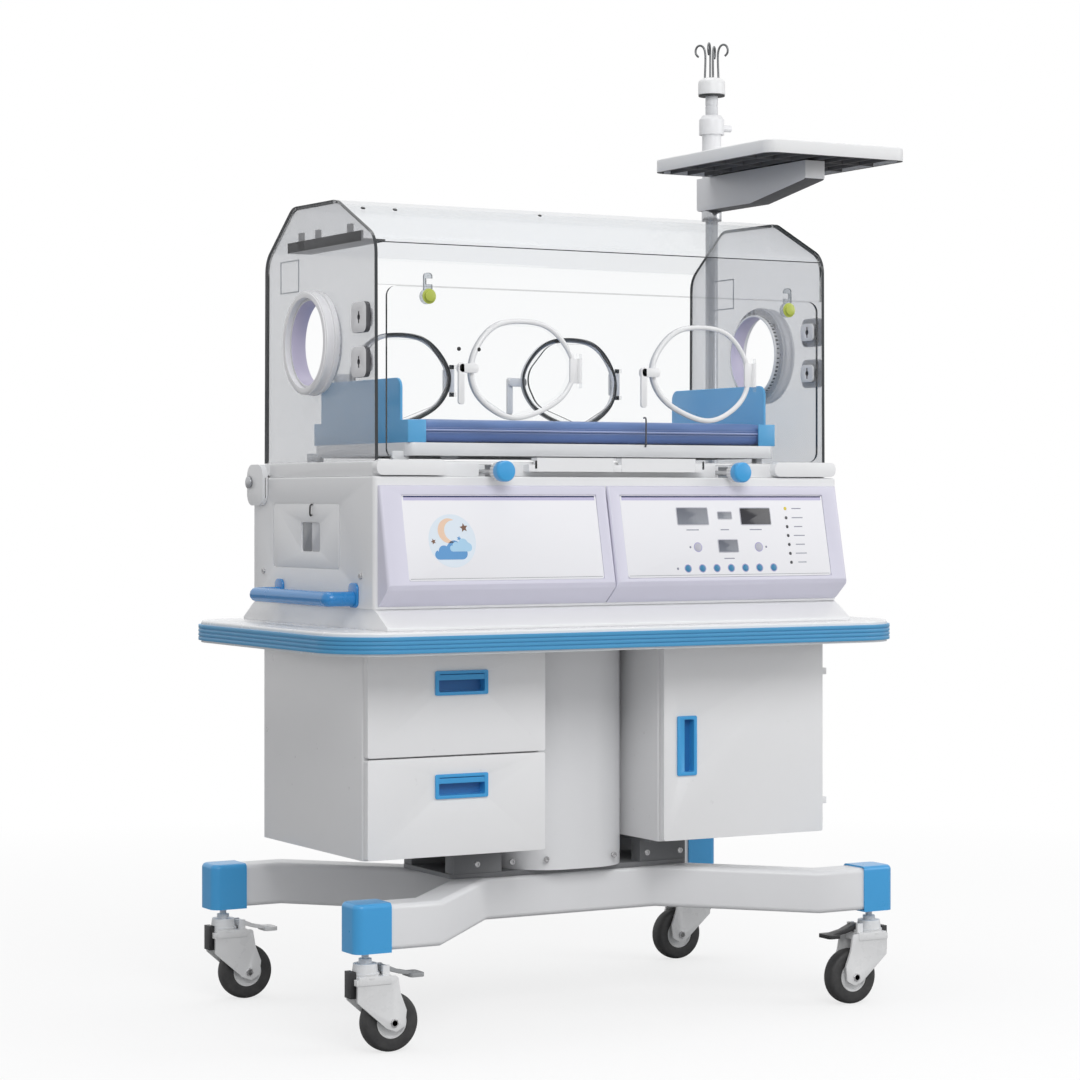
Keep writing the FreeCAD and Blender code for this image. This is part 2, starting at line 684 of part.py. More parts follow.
def slope(z):
    """The Y of the sloping front face at a height, as text."""
    return "-(casing_face + 7 + (deck_top - 26 - (%s)) * 0.2152)" % z


def fascia_block(x0, x1):
    top = "deck_top - 33"
    low = "deck_top - 183"
    points = [
        ("-casing_face", "casing_bottom + 4"),
        ("-casing_face - 7", "casing_bottom + 8"),
        (slope(low) + " + 5", low + " - 10"),
        (slope(low), low),
        (slope(top), top),
        ("-casing_face - 5", "deck_top - 17"),
        ("-casing_face", "deck_top - 15"),
    ]
    body = prism("YZ", points, x0, x1)
    length = value("(%s) - (%s)" % (x1, x0))
    front = value("-casing_face - 20")

    def end_edge(edge):
        size = edge.BoundBox
        at_end = size.XLength < 1e-4 and (abs(size.XMin) < 1e-3 or abs(size.XMin - length) < 1e-3)
        return at_end and size.YMin < value(slope(low)) + 1 and size.ZLength > 50
    soften(body, "6", end_edge)
    return body


def on_slope(x0, x1, z0, z1, proud, sunk="0"):
    """A raised or sunk piece on the sloping face."""
    points = [
        (slope(z0) + " + %s" % sunk, z0),
        (slope(z0) + " - %s" % proud, z0),
        (slope(z1) + " - %s" % proud, z1),
        (slope(z1) + " + %s" % sunk, z1),
    ]
    return prism("YZ", points, x0, x1)


def left_fascia():
    body = fascia_block("-casing_end + 7", "-22")
    recess = on_slope("-casing_end + 47", "-45", "deck_top - 177", "deck_top - 31", "10", "2")
    pocket = box("-casing_end + 22", "-37", "-casing_face - 4", "-casing_face + 1",
                 "casing_bottom + 40", "deck_top - 40")
    done(cut(body, recess, pocket), "left_fascia")


def control_fascia():
    body = fascia_block("-20", "casing_end - 4")
    recess = on_slope("3", "casing_end - 38", "deck_top - 177", "deck_top - 31", "10", "3")
    pocket = box("-5", "casing_end - 19", "-casing_face - 4", "-casing_face + 1",
                 "casing_bottom + 40", "deck_top - 40")
    done(cut(body, recess, pocket), "control_fascia")


def control_panel():
    items = [on_slope("3.3", "casing_end - 38.3", "deck_top - 176.6", "deck_top - 31.4", "-1", "3")]
    for x0, x1, low, high in (("118", "182", "83", "54"), ("204", "232", "73", "62"),
                              ("252", "315", "83", "54"), ("198", "239", "132", "111")):
        items.append(on_slope(x0, x1, "deck_top - " + low, "deck_top - " + high, "0.5", "2"))
    for x0 in ("128.5", "158.7", "189", "219", "249.5", "280", "310"):
        items.append(on_slope(x0 + " - 7", x0 + " + 7", "deck_top - 167", "deck_top - 154", "0.3", "2"))
    for x0 in ("154", "283.5"):
        items.append(on_slope(x0 + " - 8", x0 + " + 8", "deck_top - 131", "deck_top - 117", "0.3", "2"))
    done(fuse(*items), "control_panel")


def push_handles():
    items = []
    for side, front, back in ((-1, "-176", "128"), (1, "-96", "190")):
        x0 = "%d * (casing_end + 48)" % side
        z0 = "casing_bottom + 16"
        items.append(rod("y", "13", x0, front, z0, "(%s) - (%s)" % (back, front)))
        for y0 in (front, back):
            items.append(ball("13", x0, y0, z0))
            items.append(side_rod(side, "13", "casing_end", y0, z0, "48"))
            items.append(end_panel(side, y0 + " - 17", y0 + " + 17", z0 + " - 15", z0 + " + 27",
                                   "casing_end", "casing_end + 4", "11"))
    done(fuse(*items), "push_handles")


def fan_motor():
    foot = slab("-60", "60", "-60", "60", "table_top", "table_top + 6", "12")
    can = rod("z", "36", "0", "0", "table_top + 5", "62")
    shaft = rod("z", "4", "0", "0", "table_top + 60", "70")
    heater = cut(rod("z", "146", "0", "0", "table_top + 18", "14"), rod("z", "134", "0", "0", "table_top + 17", "16"),
                 box("-9", "9", "100", "180", "table_top", "table_top + 60"))
    legs = [box("%d * 140 - 9" % s, "%d * 140 + 9" % s, "-9", "9", "table_top", "table_top + 22")
            for s in (-1, 1)]
    done(fuse(foot, can, shaft, box("-140", "140", "-8", "8", "table_top", "table_top + 4"),
              heater, *legs), "fan_motor")


def fan_impeller():
    hub = rod("z", "14", "0", "0", "table_top + 76", "40")
    disc = rod("z", "88", "0", "0", "table_top + 76", "3")
    blades = []
    for i in range(8):
        blade = doc.addObject("Part::Box", name_of("blade"))
        blade.Length = 34
        blade.Width = 3
        blade.Height = 36
        turn = FreeCAD.Rotation(Z, 45 * i)
        offset = turn.multVec(FreeCAD.Vector(50, -1.5, 0))
        blade.Placement = FreeCAD.Placement(offset, turn)
        blade.setExpression("Placement.Base.z", bound("table_top + 77"))
        blades.append(blade)
    bore = rod("z", "4.05", "0", "0", "table_top + 70", "60")
    done(cut(fuse(hub, disc, *blades), bore), "fan_impeller")


def hood_pins():
    """The pins on the casing's ends that carry the hood's arms."""
    items = []
    for side in (-1, 1):
        items.append(side_rod(side, "6", "casing_end", "hinge_y", "hinge_height", "14"))
        items.append(side_rod(side, "11", "casing_end + 12", "hinge_y", "hinge_height", "4"))
    return items


# Hood: rim, bent sheet, end walls and the fittings on them

def hood_points():
    """The outline of the hood's section."""
    return [
        ("-hood_front", "rim_top"),
        ("-hood_front + 2", "hood_top - hood_height * 0.167"),
        ("-hood_front + 155", "hood_top - 2"),
        ("hood_back - 120", "hood_top"),
        ("hood_back - 3", "hood_top - hood_height * 0.193"),
        ("hood_back", "rim_top"),
    ]


def is_bend(edge):
    size = edge.BoundBox
    return along("x")(edge) and size.ZMin > value("rim_top") + 50


def hood_canopy():
    body = soften(prism("YZ", hood_points(), "-hood_end + sheet_thick", "hood_end - sheet_thick"),
                  "bend_radius", is_bend)
    tip = body.Tip
    faces = []
    for i, face in enumerate(tip.Shape.Faces, 1):
        size = face.BoundBox
        at_end = size.XLength < 1e-3
        at_foot = size.ZLength < 1e-3 and abs(size.ZMin - value("rim_top")) < 1e-2
        if at_end or at_foot:
            faces.append("Face%d" % i)
    shell = body.newObject("PartDesign::Thickness", name_of("shell"))
    shell.Base = (tip, faces)
    shell.setExpression("Value", "dims.sheet_thick")
    shell.Reversed = True
    shell.Join = 0
    doc.recompute()
    front_gap = box("-hood_end", "hood_end", "-hood_front - 5", "-hood_front + 60", "rim_top - 1",
                    "door_top + 2")
    ports = [port_hole(side, "hood_back - 12", "hood_back + 6") for side in (-1, 1)]
    items = [cut(body, front_gap, *ports)]
    for side in (-1, 1):
        items += hinge_lugs(side, "hood_back", 1)
    done(fuse(*items), "hood_canopy")


def port_shape(side, inset, y0, y1):
    """A plate with the port's outline, which bulges up and outward, drawn in by the inset."""
    corners = ((-62, 87), (56, 87), (118, 12), (86, -52), (-24, -94), (-107, -44), (-114, 18))
    points = []
    for across, up in corners:
        x = "%d * (port_spacing / 2 + (port_width / 2 - %s) * %.4f)" % (side, inset, -across / 106)
        points.append((x, "port_level + (port_height / 2 - %s) * %.4f" % (inset, up / 87)))
    body = prism("XZ", points, y0, y1)
    return soften(body, "(port_height / 2 - %s) * 0.58" % inset, along("y"))


def port_hole(side, y0, y1):
    return port_shape(side, "13", y0, y1)


def hinge_lugs(side, face, toward):
    """Two lugs and a pin that carry a port door, on a wall whose outside is at y = face."""
    x0 = "%d * port_spacing / 2 + port_width / 2 + 5" % side
    y_axis = "(%s) + %d * 9" % (face, toward)
    items = [rod("z", "2", x0, y_axis, "port_level - 30", "60")]
    for z0 in ("port_level - 30", "port_level + 22"):
        items.append(rod("z", "5", x0, y_axis, z0, "8"))
        low, high = (face, y_axis) if toward > 0 else (y_axis, face)
        items.append(box(x0 + " - 3", x0 + " + 5", "(%s) - %d" % (low, 4 if toward > 0 else 0),
                         "(%s) + %d" % (high, 0 if toward > 0 else 4), z0, z0 + " + 8"))
    return items


def hood_end_panels():
    walls = []
    for side in (-1, 1):
        wall = soften(side_prism(side, hood_points(), "hood_end - sheet_thick", "hood_end"),
                      "bend_radius", is_bend)
        hole = side_rod(side, "iris_radius - 14", "hood_end - 12", "-5", "iris_level", "18")
        slots = []
        for rise in ("36", "-40"):
            centre = "iris_level + " + rise
            slots.append(end_panel(side, "-205", "-165", centre + " - 16", centre + " + 16",
                                   "hood_end - 12", "hood_end + 6", "9"))
        walls.append(cut(wall, hole, *slots))
    done(fuse(*walls), "hood_end_panels")


def hood_rim():
    outer = slab("-hood_end - 4", "hood_end + 4", "-hood_front - 6", "hood_back + 5", "deck_top + 0.5",
                 "rim_top", "18", "3")
    inner = slab("-hood_end + 18", "hood_end - 18", "-hood_front + 10", "hood_back - 12", "deck_top - 1",
                 "rim_top + 1", "10")
    seat_notch = [side_box(s, "knob_x - 24", "knob_x + 24", "-hood_front - 8", "-hood_front + 12",
                           "deck_top - 1", "knob_level + 13") for s in (-1, 1)]
    items = [cut(outer, inner, *seat_notch)]
    for side in (-1, 1):
        items.append(hinge_arm(side))
    items += door_hinges()
    done(fuse(*items), "hood_rim")


def hinge_arm(side):
    """The arm outside the casing's end that carries the rim on its pivot pin."""
    x0 = "casing_end + 1"
    plate = end_panel(side, "hinge_y - 56", "hinge_y + 14", "hinge_height - 42", "rim_top - 2",
                      x0, "casing_end + 11", "22")
    link = side_box(side, "hood_end - 6", "casing_end + 4", "hinge_y - 46", "hinge_y - 16",
                    "deck_top + 4", "rim_top - 4")
    bore = side_rod(side, "6.05", "casing_end - 2", "hinge_y", "hinge_height", "20")
    return cut(fuse(plate, link), bore)


def door_hinges():
    """Knuckles along the front of the rim with the rod that carries the front door."""
    items = [rod("x", "4", "-178", "door_axis_y", "door_axis_z", "356")]
    for x0 in ("-178", "-8", "162"):
        items.append(box(x0, x0 + " + 16", "door_axis_y - 6", "-hood_front - 5", "door_axis_z - 6",
                         "door_axis_z + 6"))
    for side in (-1, 1):
        ends = ("hood_end - 126", "hood_end + 8") if side > 0 else ("-hood_end - 8", "-hood_end + 126")
        items.append(panel(ends[0], ends[1], "deck_top + 2", "rim_top + 2", "-hood_front - 24",
                           "-hood_front - 5", "12"))
    return items


def sensor_bracket():
    z0 = "hood_top - 80"
    shelf = slab("-hood_end + sheet_thick", "-hood_end + sheet_thick + 46", "-169", "137", z0, z0 + " + 4",
                 "6")
    web = box("-hood_end + sheet_thick", "-hood_end + sheet_thick + 4", "-165", "137", z0, z0 + " + 18")
    posts = [box("-hood_end + sheet_thick + 6", "-hood_end + sheet_thick + 12", y0, y0 + " + 14",
                 z0 + " + 3", z0 + " + 34") for y0 in ("-110", "20", "90")]
    done(fuse(shelf, web, *posts), "sensor_bracket")


def tube_grommets():
    items = []
    for side in (-1, 1):
        for rise in ("36", "-40"):
            centre = "iris_level + " + rise
            frame = end_panel(side, "-214", "-156", centre + " - 26", centre + " + 26",
                              "hood_end", "hood_end + 9", "12")
            plug = end_panel(side, "-205", "-165", centre + " - 16", centre + " + 16",
                             "hood_end - 9", "hood_end + 2", "9")
            slot = side_box(side, "hood_end - 12", "hood_end + 12", "-187", "-183", centre + " - 10",
                            centre + " + 10")
            hole = side_rod(side, "5", "hood_end - 12", "-185", centre, "24")
            items.append(cut(fuse(frame, plug), slot, hole))
    done(fuse(*items), "tube_grommets")


def iris_sleeves():
    items = []
    for side in (-1, 1):
        tube = side_rod(side, "iris_radius - 14", "hood_end - 10", "-5", "iris_level", "28")
        flange = side_rod(side, "iris_radius - 2", "hood_end", "-5", "iris_level", "5")
        bore = side_rod(side, "iris_radius - 18", "hood_end - 12", "-5", "iris_level", "34")
        items.append(cut(fuse(tube, flange), bore))
    done(fuse(*items), "iris_sleeves")


def iris_ring(side, label):
    """The turning ring of an iris port, over the outside of its sleeve."""
    items = [side_rod(side, "iris_radius", "hood_end + 5.2", "-5", "iris_level", "5"),
             side_rod(side, "iris_radius - 4", "hood_end + 9", "-5", "iris_level", "19"),
             side_rod(side, "iris_radius - 1.5", "hood_end + 21", "-5", "iris_level", "5")]
    bore = side_rod(side, "iris_radius - 13.6", "hood_end + 4", "-5", "iris_level", "30")
    done(cut(fuse(*items), bore), label)


def front_door():
    plate = panel("-door_length / 2", "door_length / 2", "door_bottom", "door_top",
                  "-hood_front - sheet_thick", "-hood_front", "18")
    holes = [port_hole(side, "-hood_front - 12", "-hood_front + 6") for side in (-1, 1)]
    items = [cut(plate, *holes)]
    bores = []
    for side in (-1, 1):
        items += hinge_lugs(side, "-hood_front - sheet_thick", -1)
        strap = side_box(side, "8.3", "161.7", "door_axis_y - 6", "-hood_front - sheet_thick + 2",
                         "door_axis_z - 6", "door_bottom + 4")
        room = side_box(side, "7", "163", "door_axis_y + 8", "-hood_front",
                        "door_axis_z - 8", "door_bottom - 1")
        items.append(cut(strap, room))
        items.append(rod("y", "4", "%d * latch_x" % side, "-hood_front - sheet_thick - 6", "latch_z", "7"))
    bores.append(rod("x", "4.05", "-200", "door_axis_y", "door_axis_z", "400"))
    done(cut(fuse(*items), *bores), "front_door")


def door_latch(side, label):
    """A turning latch whose arm laps the hood's front strip."""
    x0 = "%d * latch_x" % side
    y_face = "-hood_front - sheet_thick"
    boss = rod("y", "13", x0, y_face + " - 14", "latch_z", "12")
    button = rod("y", "9", x0, y_face + " - 19", "latch_z", "6")
    arm = panel(x0 + " - 8", x0 + " + 8", "latch_z", "latch_z + 40", y_face + " - 10", y_face + " - 6",
                "6")
    slot = box(x0 + (" - 3.5" if side < 0 else " - 12"), x0 + (" + 12" if side < 0 else " + 3.5"),
               y_face + " - 12", y_face + " - 4", "latch_z + 20.5", "latch_z + 30.5")
    bore = rod("y", "4.05", x0, y_face + " - 7", "latch_z", "8")
    done(cut(fuse(boss, button, arm), slot, bore), label)


def port_door(side, face, toward, label):
    """An oval door over a hand port, hinged on its +X side with a lever on its -X side."""
    x0 = "%d * port_spacing / 2" % side
    inner = "(%s) + %d * 0.4" % (face, toward)
    outer = "(%s) + %d * 6.4" % (face, toward)
    ridge = "(%s) + %d * 11" % (face, toward)

    def plate(inset, first, second):
        low, high = (first, second) if toward > 0 else (second, first)
        return port_shape(side, inset, low, high)
    leaf = plate("0", inner, outer)
    bead = cut(plate("0.6", outer, ridge), plate("9", inner, ridge + " + %d" % (2 * toward)))
    axis_x = x0 + " + port_width / 2 + 5"
    axis_y = "(%s) + %d * 9" % (face, toward)
    barrel = rod("z", "5", axis_x, axis_y, "port_level - 21.6", "43.2")
    low, high = (outer, ridge) if toward > 0 else (ridge, outer)
    strap = box(x0 + " + port_width / 2 - 16", axis_x, low, high, "port_level - 21.6", "port_level + 21.6")
    lever_x = x0 + " - port_width / 2"
    tip = "(%s) + %d * 18" % (face, toward)
    low2, high2 = (outer, tip) if toward > 0 else (tip, outer)
    lever = panel(lever_x + " - 24", lever_x + " + 14", "port_level - 8", "port_level + 8", low2, high2,
                  "6")
    near = "(%s) + %d * 12" % (face, toward)
    low3, high3 = (near, tip) if toward > 0 else (tip, near)
    arm = panel(lever_x + " - 25", lever_x + " - 13", "port_level - 62", "port_level + 9", low3, high3,
                "5")
    bore = rod("z", "2.05", axis_x, axis_y, "port_level - 40", "80")
    clear = rod("z", "5.3", axis_x, axis_y, "port_level - 32", "10.2")
    clear_up = rod("z", "5.3", axis_x, axis_y, "port_level + 21.8", "10.2")
    low4, high4 = (face, ridge + " + 4") if toward > 0 else (ridge + " - 4", face)
    gaps = [box(axis_x + " - 3.4", axis_x + " + 10", low4, high4, z0, z0 + " + 10.2")
            for z0 in ("port_level - 32", "port_level + 21.8")]
    done(cut(fuse(leaf, bead, barrel, strap, lever, arm), bore, clear, clear_up, *gaps), label)


# Bed: tilting frame, tray, mattress and baffles

def tilt_frame():
    half = "mattress_width / 2 - 18"
    outer = box("-frame_pivot_x", "frame_pivot_x", "-(%s)" % half, half, "frame_level - 4", "frame_level + 8")
    inner = box("-frame_pivot_x + 22", "frame_pivot_x - 22", "-(%s) + 22" % half, half + " - 22",
                "frame_level - 10", "frame_level + 12")
    pin = rod("y", "4", "-frame_pivot_x", "-(%s) - 6" % half, "frame_level + 10", "(%s) * 2 + 12" % half)
    ears = [box("-frame_pivot_x - 8", "-frame_pivot_x + 12", y0, y0 + " + 10", "frame_level + 2",
                "frame_level + 16") for y0 in ("-(%s)" % half, half + " - 10")]
    bore = rod("y", "4.05", "frame_pivot_x", "-(%s) - 20" % half, "frame_level", "(%s) * 2 + 40" % half)
    ends = rod("y", "8", "frame_pivot_x", "-(%s)" % half, "frame_level", "(%s) * 2" % half)
    done(cut(fuse(cut(outer, inner), pin, ends, *ears), bore), "tilt_frame")


def deck_pivots():
    """The blocks on the deck that carry the tilt frame, with the hood's pins."""
    half = "mattress_width / 2 - 18"
    items = [rod("y", "4", "frame_pivot_x", "-(%s) - 14" % half, "frame_level", "(%s) * 2 + 28" % half)]
    for y0 in ("-(%s) - 14" % half, half + " + 2"):
        items.append(box("frame_pivot_x - 12", "frame_pivot_x + 12", y0, y0 + " + 12", "deck_top",
                         "frame_level + 8"))
    rests = [box("-frame_pivot_x + 4", "-frame_pivot_x + 18", y0, y0 + " + 16", "deck_top",
                 "frame_level - 4") for y0 in ("-100", "84")]
    items.append(box("-frame_pivot_x + 4", "frame_pivot_x + 12", "-10", "10", "deck_top", "deck_top + 3"))
    items.append(box("-frame_pivot_x + 4", "-frame_pivot_x + 18", "-100", "100", "deck_top",
                     "deck_top + 3"))
    items.append(box("frame_pivot_x - 12", "frame_pivot_x + 12", "-(%s) - 14" % half, half + " + 14",
                     "deck_top", "deck_top + 3"))
    done(fuse(*(items + rests + hood_pins())), "deck_pivots")


def mattress_tray():
    half = "mattress_width / 2"
    length = "mattress_length / 2"
    base = slab("-(%s) - 6" % length, length + " + 6", "-(%s) - 6" % half, half + " + 6",
                "bed_level - 2", "mattress_bottom - 0.3", "16")
    inside = slab("-(%s) + 12" % length, length + " - 12", "-(%s) + 12" % half, half + " - 12",
                  "bed_level - 4", "mattress_bottom - 6", "10")
    ears = [box("-frame_pivot_x - 9", "-frame_pivot_x + 22", y0, y0 + " + 5", "frame_level + 3",
                "bed_level + 6") for y0 in ("-(%s) + 11" % half, half + " - 16")]
    bore = rod("y", "4.05", "-frame_pivot_x", "-(%s)" % half, "frame_level + 10", half + " * 2")
    rests = [box("frame_pivot_x - 36", "frame_pivot_x - 24", y0, y0 + " + 16", "frame_level + 8.1",
                 "bed_level + 6") for y0 in ("-(%s) + 22" % half, half + " - 38")]
    done(cut(fuse(cut(base, inside), *(ears + rests)), bore), "mattress_tray")


def mattress():
    half = "mattress_width / 2"
    length = "mattress_length / 2"
    body = slab("-(%s)" % length, length, "-(%s)" % half, half, "mattress_bottom",
                "mattress_bottom + mattress_thick", "22", "10")
    done(body, "mattress")


def end_baffles():
    """Upright end walls, each with a foot whose cheeks wrap the corners of the mattress."""
    items = []
    for side in (-1, 1):
        x0 = "mattress_length / 2 + 0.3"
        low = "mattress_bottom - 0.3"
        half = "mattress_width / 2"
        wall = end_panel(side, "-160", "160", low, "mattress_bottom + mattress_thick + 69", x0,
                         x0 + " + 5", "18")
        foot = side_box(side, x0, x0 + " + 5", "-(%s) - 4.8" % half, half + " + 4.8", low,
                        "mattress_bottom + mattress_thick - 4")
        items += [wall, foot]
        for y0, y1 in (("-(%s) - 4.8" % half, "-(%s) - 0.3" % half), (half + " + 0.3", half + " + 4.8")):
            items.append(side_box(side, "mattress_length / 2 - 30", x0 + " + 5", y0, y1, low,
                                  "mattress_bottom + mattress_thick - 4"))
    left, right = items[:4], items[4:]
    done(fuse(fuse(*left), fuse(*right)), "end_baffles")


def tilt_knob(side, label):
    x0 = "%d * knob_x" % side
    shaft = rod("y", "4", x0, "-casing_face - 30", "knob_level", "casing_face + 30 - mattress_width / 2 + 14")
    face = rod("y", "18", x0, "-casing_face - 40", "knob_level", "14")
    collar = rod("y", "15", x0, "-casing_face - 27", "knob_level", "18")
    crest = cone("y", "15.5", "18", x0, "-casing_face - 43", "knob_level", "3")
    notches = []
    for i in range(12):
        notch = rod("y", "1.6", x0 + " + 16 * cos(%d)" % (30 * i), "-casing_face - 26",
                    "knob_level + 16 * sin(%d)" % (30 * i), "20")
        notches.append(notch)
    done(cut(fuse(shaft, face, collar, crest), *notches), label)


# Pole, arm, tray and hooks

def pole():
    height = "tray_bottom - 65 - table_top"
    tube = rod("z", "pole_radius", "pole_x", "pole_y", "table_top", height + " + 40")
    bore = rod("z", "9.5", "pole_x", "pole_y", "table_top + 200", "tray_bottom - table_top")
    foot = rod("z", "26", "pole_x", "pole_y", "table_top", "8")
    items = [tube, foot]
    for z0 in ("casing_bottom + 38", "casing_bottom + 120"):
        items.append(box("casing_end", "pole_x + 18", "pole_y - 18", "pole_y + 18", z0, z0 + " + 24"))
    collar = rod("z", "20", "pole_x", "pole_y", "tray_bottom - 85", "19.9")
    done(cut(fuse(collar, *items), bore), "pole")


def tray_arm():
    top = "tray_bottom"
    points = [
        ("pole_y + 24", top),
        ("pole_y + 24", top + " - 65"),
        ("pole_y - 168", top + " - 65"),
        ("pole_y - 356", top + " - 35"),
        ("pole_y - 356", top),
    ]
    beam = prism("YZ", points, "pole_x - 20", "pole_x + 24")
    soften(beam, "7", lambda e: along("x")(e) and e.BoundBox.ZMin < value("tray_bottom - 20"))
    socket = rod("z", "19", "pole_x", "pole_y", top + " - 10", "97")
    clamp = rod("z", "25", "pole_x", "pole_y", top + " + 87", "30")
    lip = cone("z", "25", "19", "pole_x", "pole_y", top + " + 117", "8")
    knob = rod("x", "7", "pole_x + 22", "pole_y", top + " + 102", "22")
    pole_bore = rod("z", "pole_radius + 0.05", "pole_x", "pole_y", top + " - 67", "42.05")
    rod_bore = rod("z", "8.05", "pole_x", "pole_y", top + " - 30", "180")
    done(cut(fuse(beam, socket, clamp, lip, knob), pole_bore, rod_bore), "tray_arm")


def monitor_tray():
    x0 = "pole_x - 154"
    x1 = "pole_x - 154 + tray_length"
    y1 = "pole_y - 23"
    y0 = "pole_y - 23 - tray_width"
    body = slab(x0, x1, y0, y1, "tray_bottom", "tray_bottom + 25", "26", "3")
    dish = slab(x0 + " + 10", x1 + " - 10", y0 + " + 10", y1 + " - 10", "tray_bottom + 14",
                "tray_bottom + 26", "18")
    under = slab(x0 + " + 8", x1 + " - 8", y0 + " + 8", y1 + " - 8", "tray_bottom - 1", "tray_bottom + 8",
                 "20")
    shell = cut(body, dish, under)
    ribs = []
    for step in range(1, 8):
        x = x0 + " + tray_length * %d / 8" % step
        ribs.append(box(x + " - 1.5", x + " + 1.5", y0 + " + 4", y1 + " - 4", "tray_bottom", "tray_bottom + 9"))
    for step in range(1, 4):
        y = y0 + " + tray_width * %d / 4" % step
        ribs.append(box(x0 + " + 4", x1 + " - 4", y + " - 1.5", y + " + 1.5", "tray_bottom", "tray_bottom + 9"))
    done(fuse(shell, *ribs), "monitor_tray")


def iv_hook_rod():
    z0 = "tray_bottom + 125.2"
    inner = rod("z", "8", "pole_x", "pole_y", "tray_bottom - 24", "174")
    tube = rod("z", "pole_radius", "pole_x", "pole_y", z0, "39")
    cap = rod("z", "27", "pole_x", "pole_y", z0 + " + 39", "30")
    crest = cone("z", "27", "20", "pole_x", "pole_y", z0 + " + 69", "6")
    items = [inner, tube, cap, crest]
    for i in range(4):
        turn = 45 + 90 * i
        items += hook("pole_x + 14 * cos(%d)" % turn, "pole_y + 14 * sin(%d)" % turn, z0, turn)
    done(fuse(*items), "iv_hook_rod")


def hook(x0, y0, z0, turn):
    """A wire that rises from the cap and ends in an open loop."""
    riser = rod("z", "2.2", x0, y0, z0 + " + 50", "84")
    middle = (x0 + " + 10 * cos(%d)" % turn, y0 + " + 10 * sin(%d)" % turn, z0 + " + 132")
    facing = FreeCAD.Rotation(Z, turn).multiply(FreeCAD.Rotation(X, 90))
    parts = []
    for radius, height, shift in (("12", "4", 2), ("8.2", "8", 4)):
        disc = rod("z", radius, "0", "0", "0", height)
        disc.Placement.Rotation = facing
        put(disc, middle[0] + " - %d * sin(%d)" % (shift, turn), middle[1] + " + %d * cos(%d)" % (shift, turn),
            middle[2])
        parts.append(disc)
    mouth = box("0", "16", "0", "8", "0", "16")
    mouth.Placement.Rotation = FreeCAD.Rotation(Z, turn)
    put(mouth, middle[0] + " + 4 * sin(%d)" % turn, middle[1] + " - 4 * cos(%d)" % turn, middle[2] + " - 14")
    return [riser, cut(parts[0], parts[1], mouth)]


base_bars()
base_end_caps()
base_centre_plate()
centre_column()
CORNERS = {"front_left": (-1, -1), "front_right": (1, -1), "back_left": (-1, 1), "back_right": (1, 1)}
for corner, (sx, sy) in CORNERS.items():
    caster(sx, sy, corner)
left_cabinet()
drawer("upper_drawer", "split_height + 1.5", "table_bottom - 3", "split_height + 66",
       "split_height + 125")
drawer_handle("upper_drawer_handle", "split_height + 125")
drawer("lower_drawer", "cabinet_bottom + 2", "split_height - 1.5", "cabinet_bottom + 70",
       "split_height - 52")
drawer_handle("lower_drawer_handle", "split_height - 52")
right_cabinet()
cabinet_door()
cabinet_door_handle()
table_top()
table_edge_band()
casing_skirt()
lower_casing()
left_fascia()
control_fascia()
control_panel()
push_handles()
fan_motor()
fan_impeller()
deck_pivots()
hood_rim()
hood_canopy()
hood_end_panels()
sensor_bracket()
tube_grommets()
iris_sleeves()
iris_ring(-1, "left_iris_ring")
iris_ring(1, "right_iris_ring")
front_door()
door_latch(-1, "left_door_latch")
door_latch(1, "right_door_latch")
port_door(-1, "-hood_front - sheet_thick", -1, "front_left_port_door")
port_door(1, "-hood_front - sheet_thick", -1, "front_right_port_door")
port_door(-1, "hood_back", 1, "back_left_port_door")
port_door(1, "hood_back", 1, "back_right_port_door")
tilt_frame()
mattress_tray()
mattress()
end_baffles()
tilt_knob(-1, "left_tilt_knob")
tilt_knob(1, "right_tilt_knob")
pole()
tray_arm()
monitor_tray()
iv_hook_rod()
doc.recompute()

faults = [obj.Label for obj in doc.Objects if "Invalid" in obj.State or "Error" in obj.State]
faults += [label for label, obj in finished if obj.Shape.isNull() or not obj.Shape.isValid()]
if faults:
    raise ValueError("these objects have no valid shape: " + ", ".join(faults))

os.makedirs("parts", exist_ok=True)
for label, obj in finished:
    obj.Shape.exportStep("parts/%s.step" % label)
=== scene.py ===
import json
import math

import bmesh
import bpy
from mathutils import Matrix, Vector
from mathutils.bvhtree import BVHTree

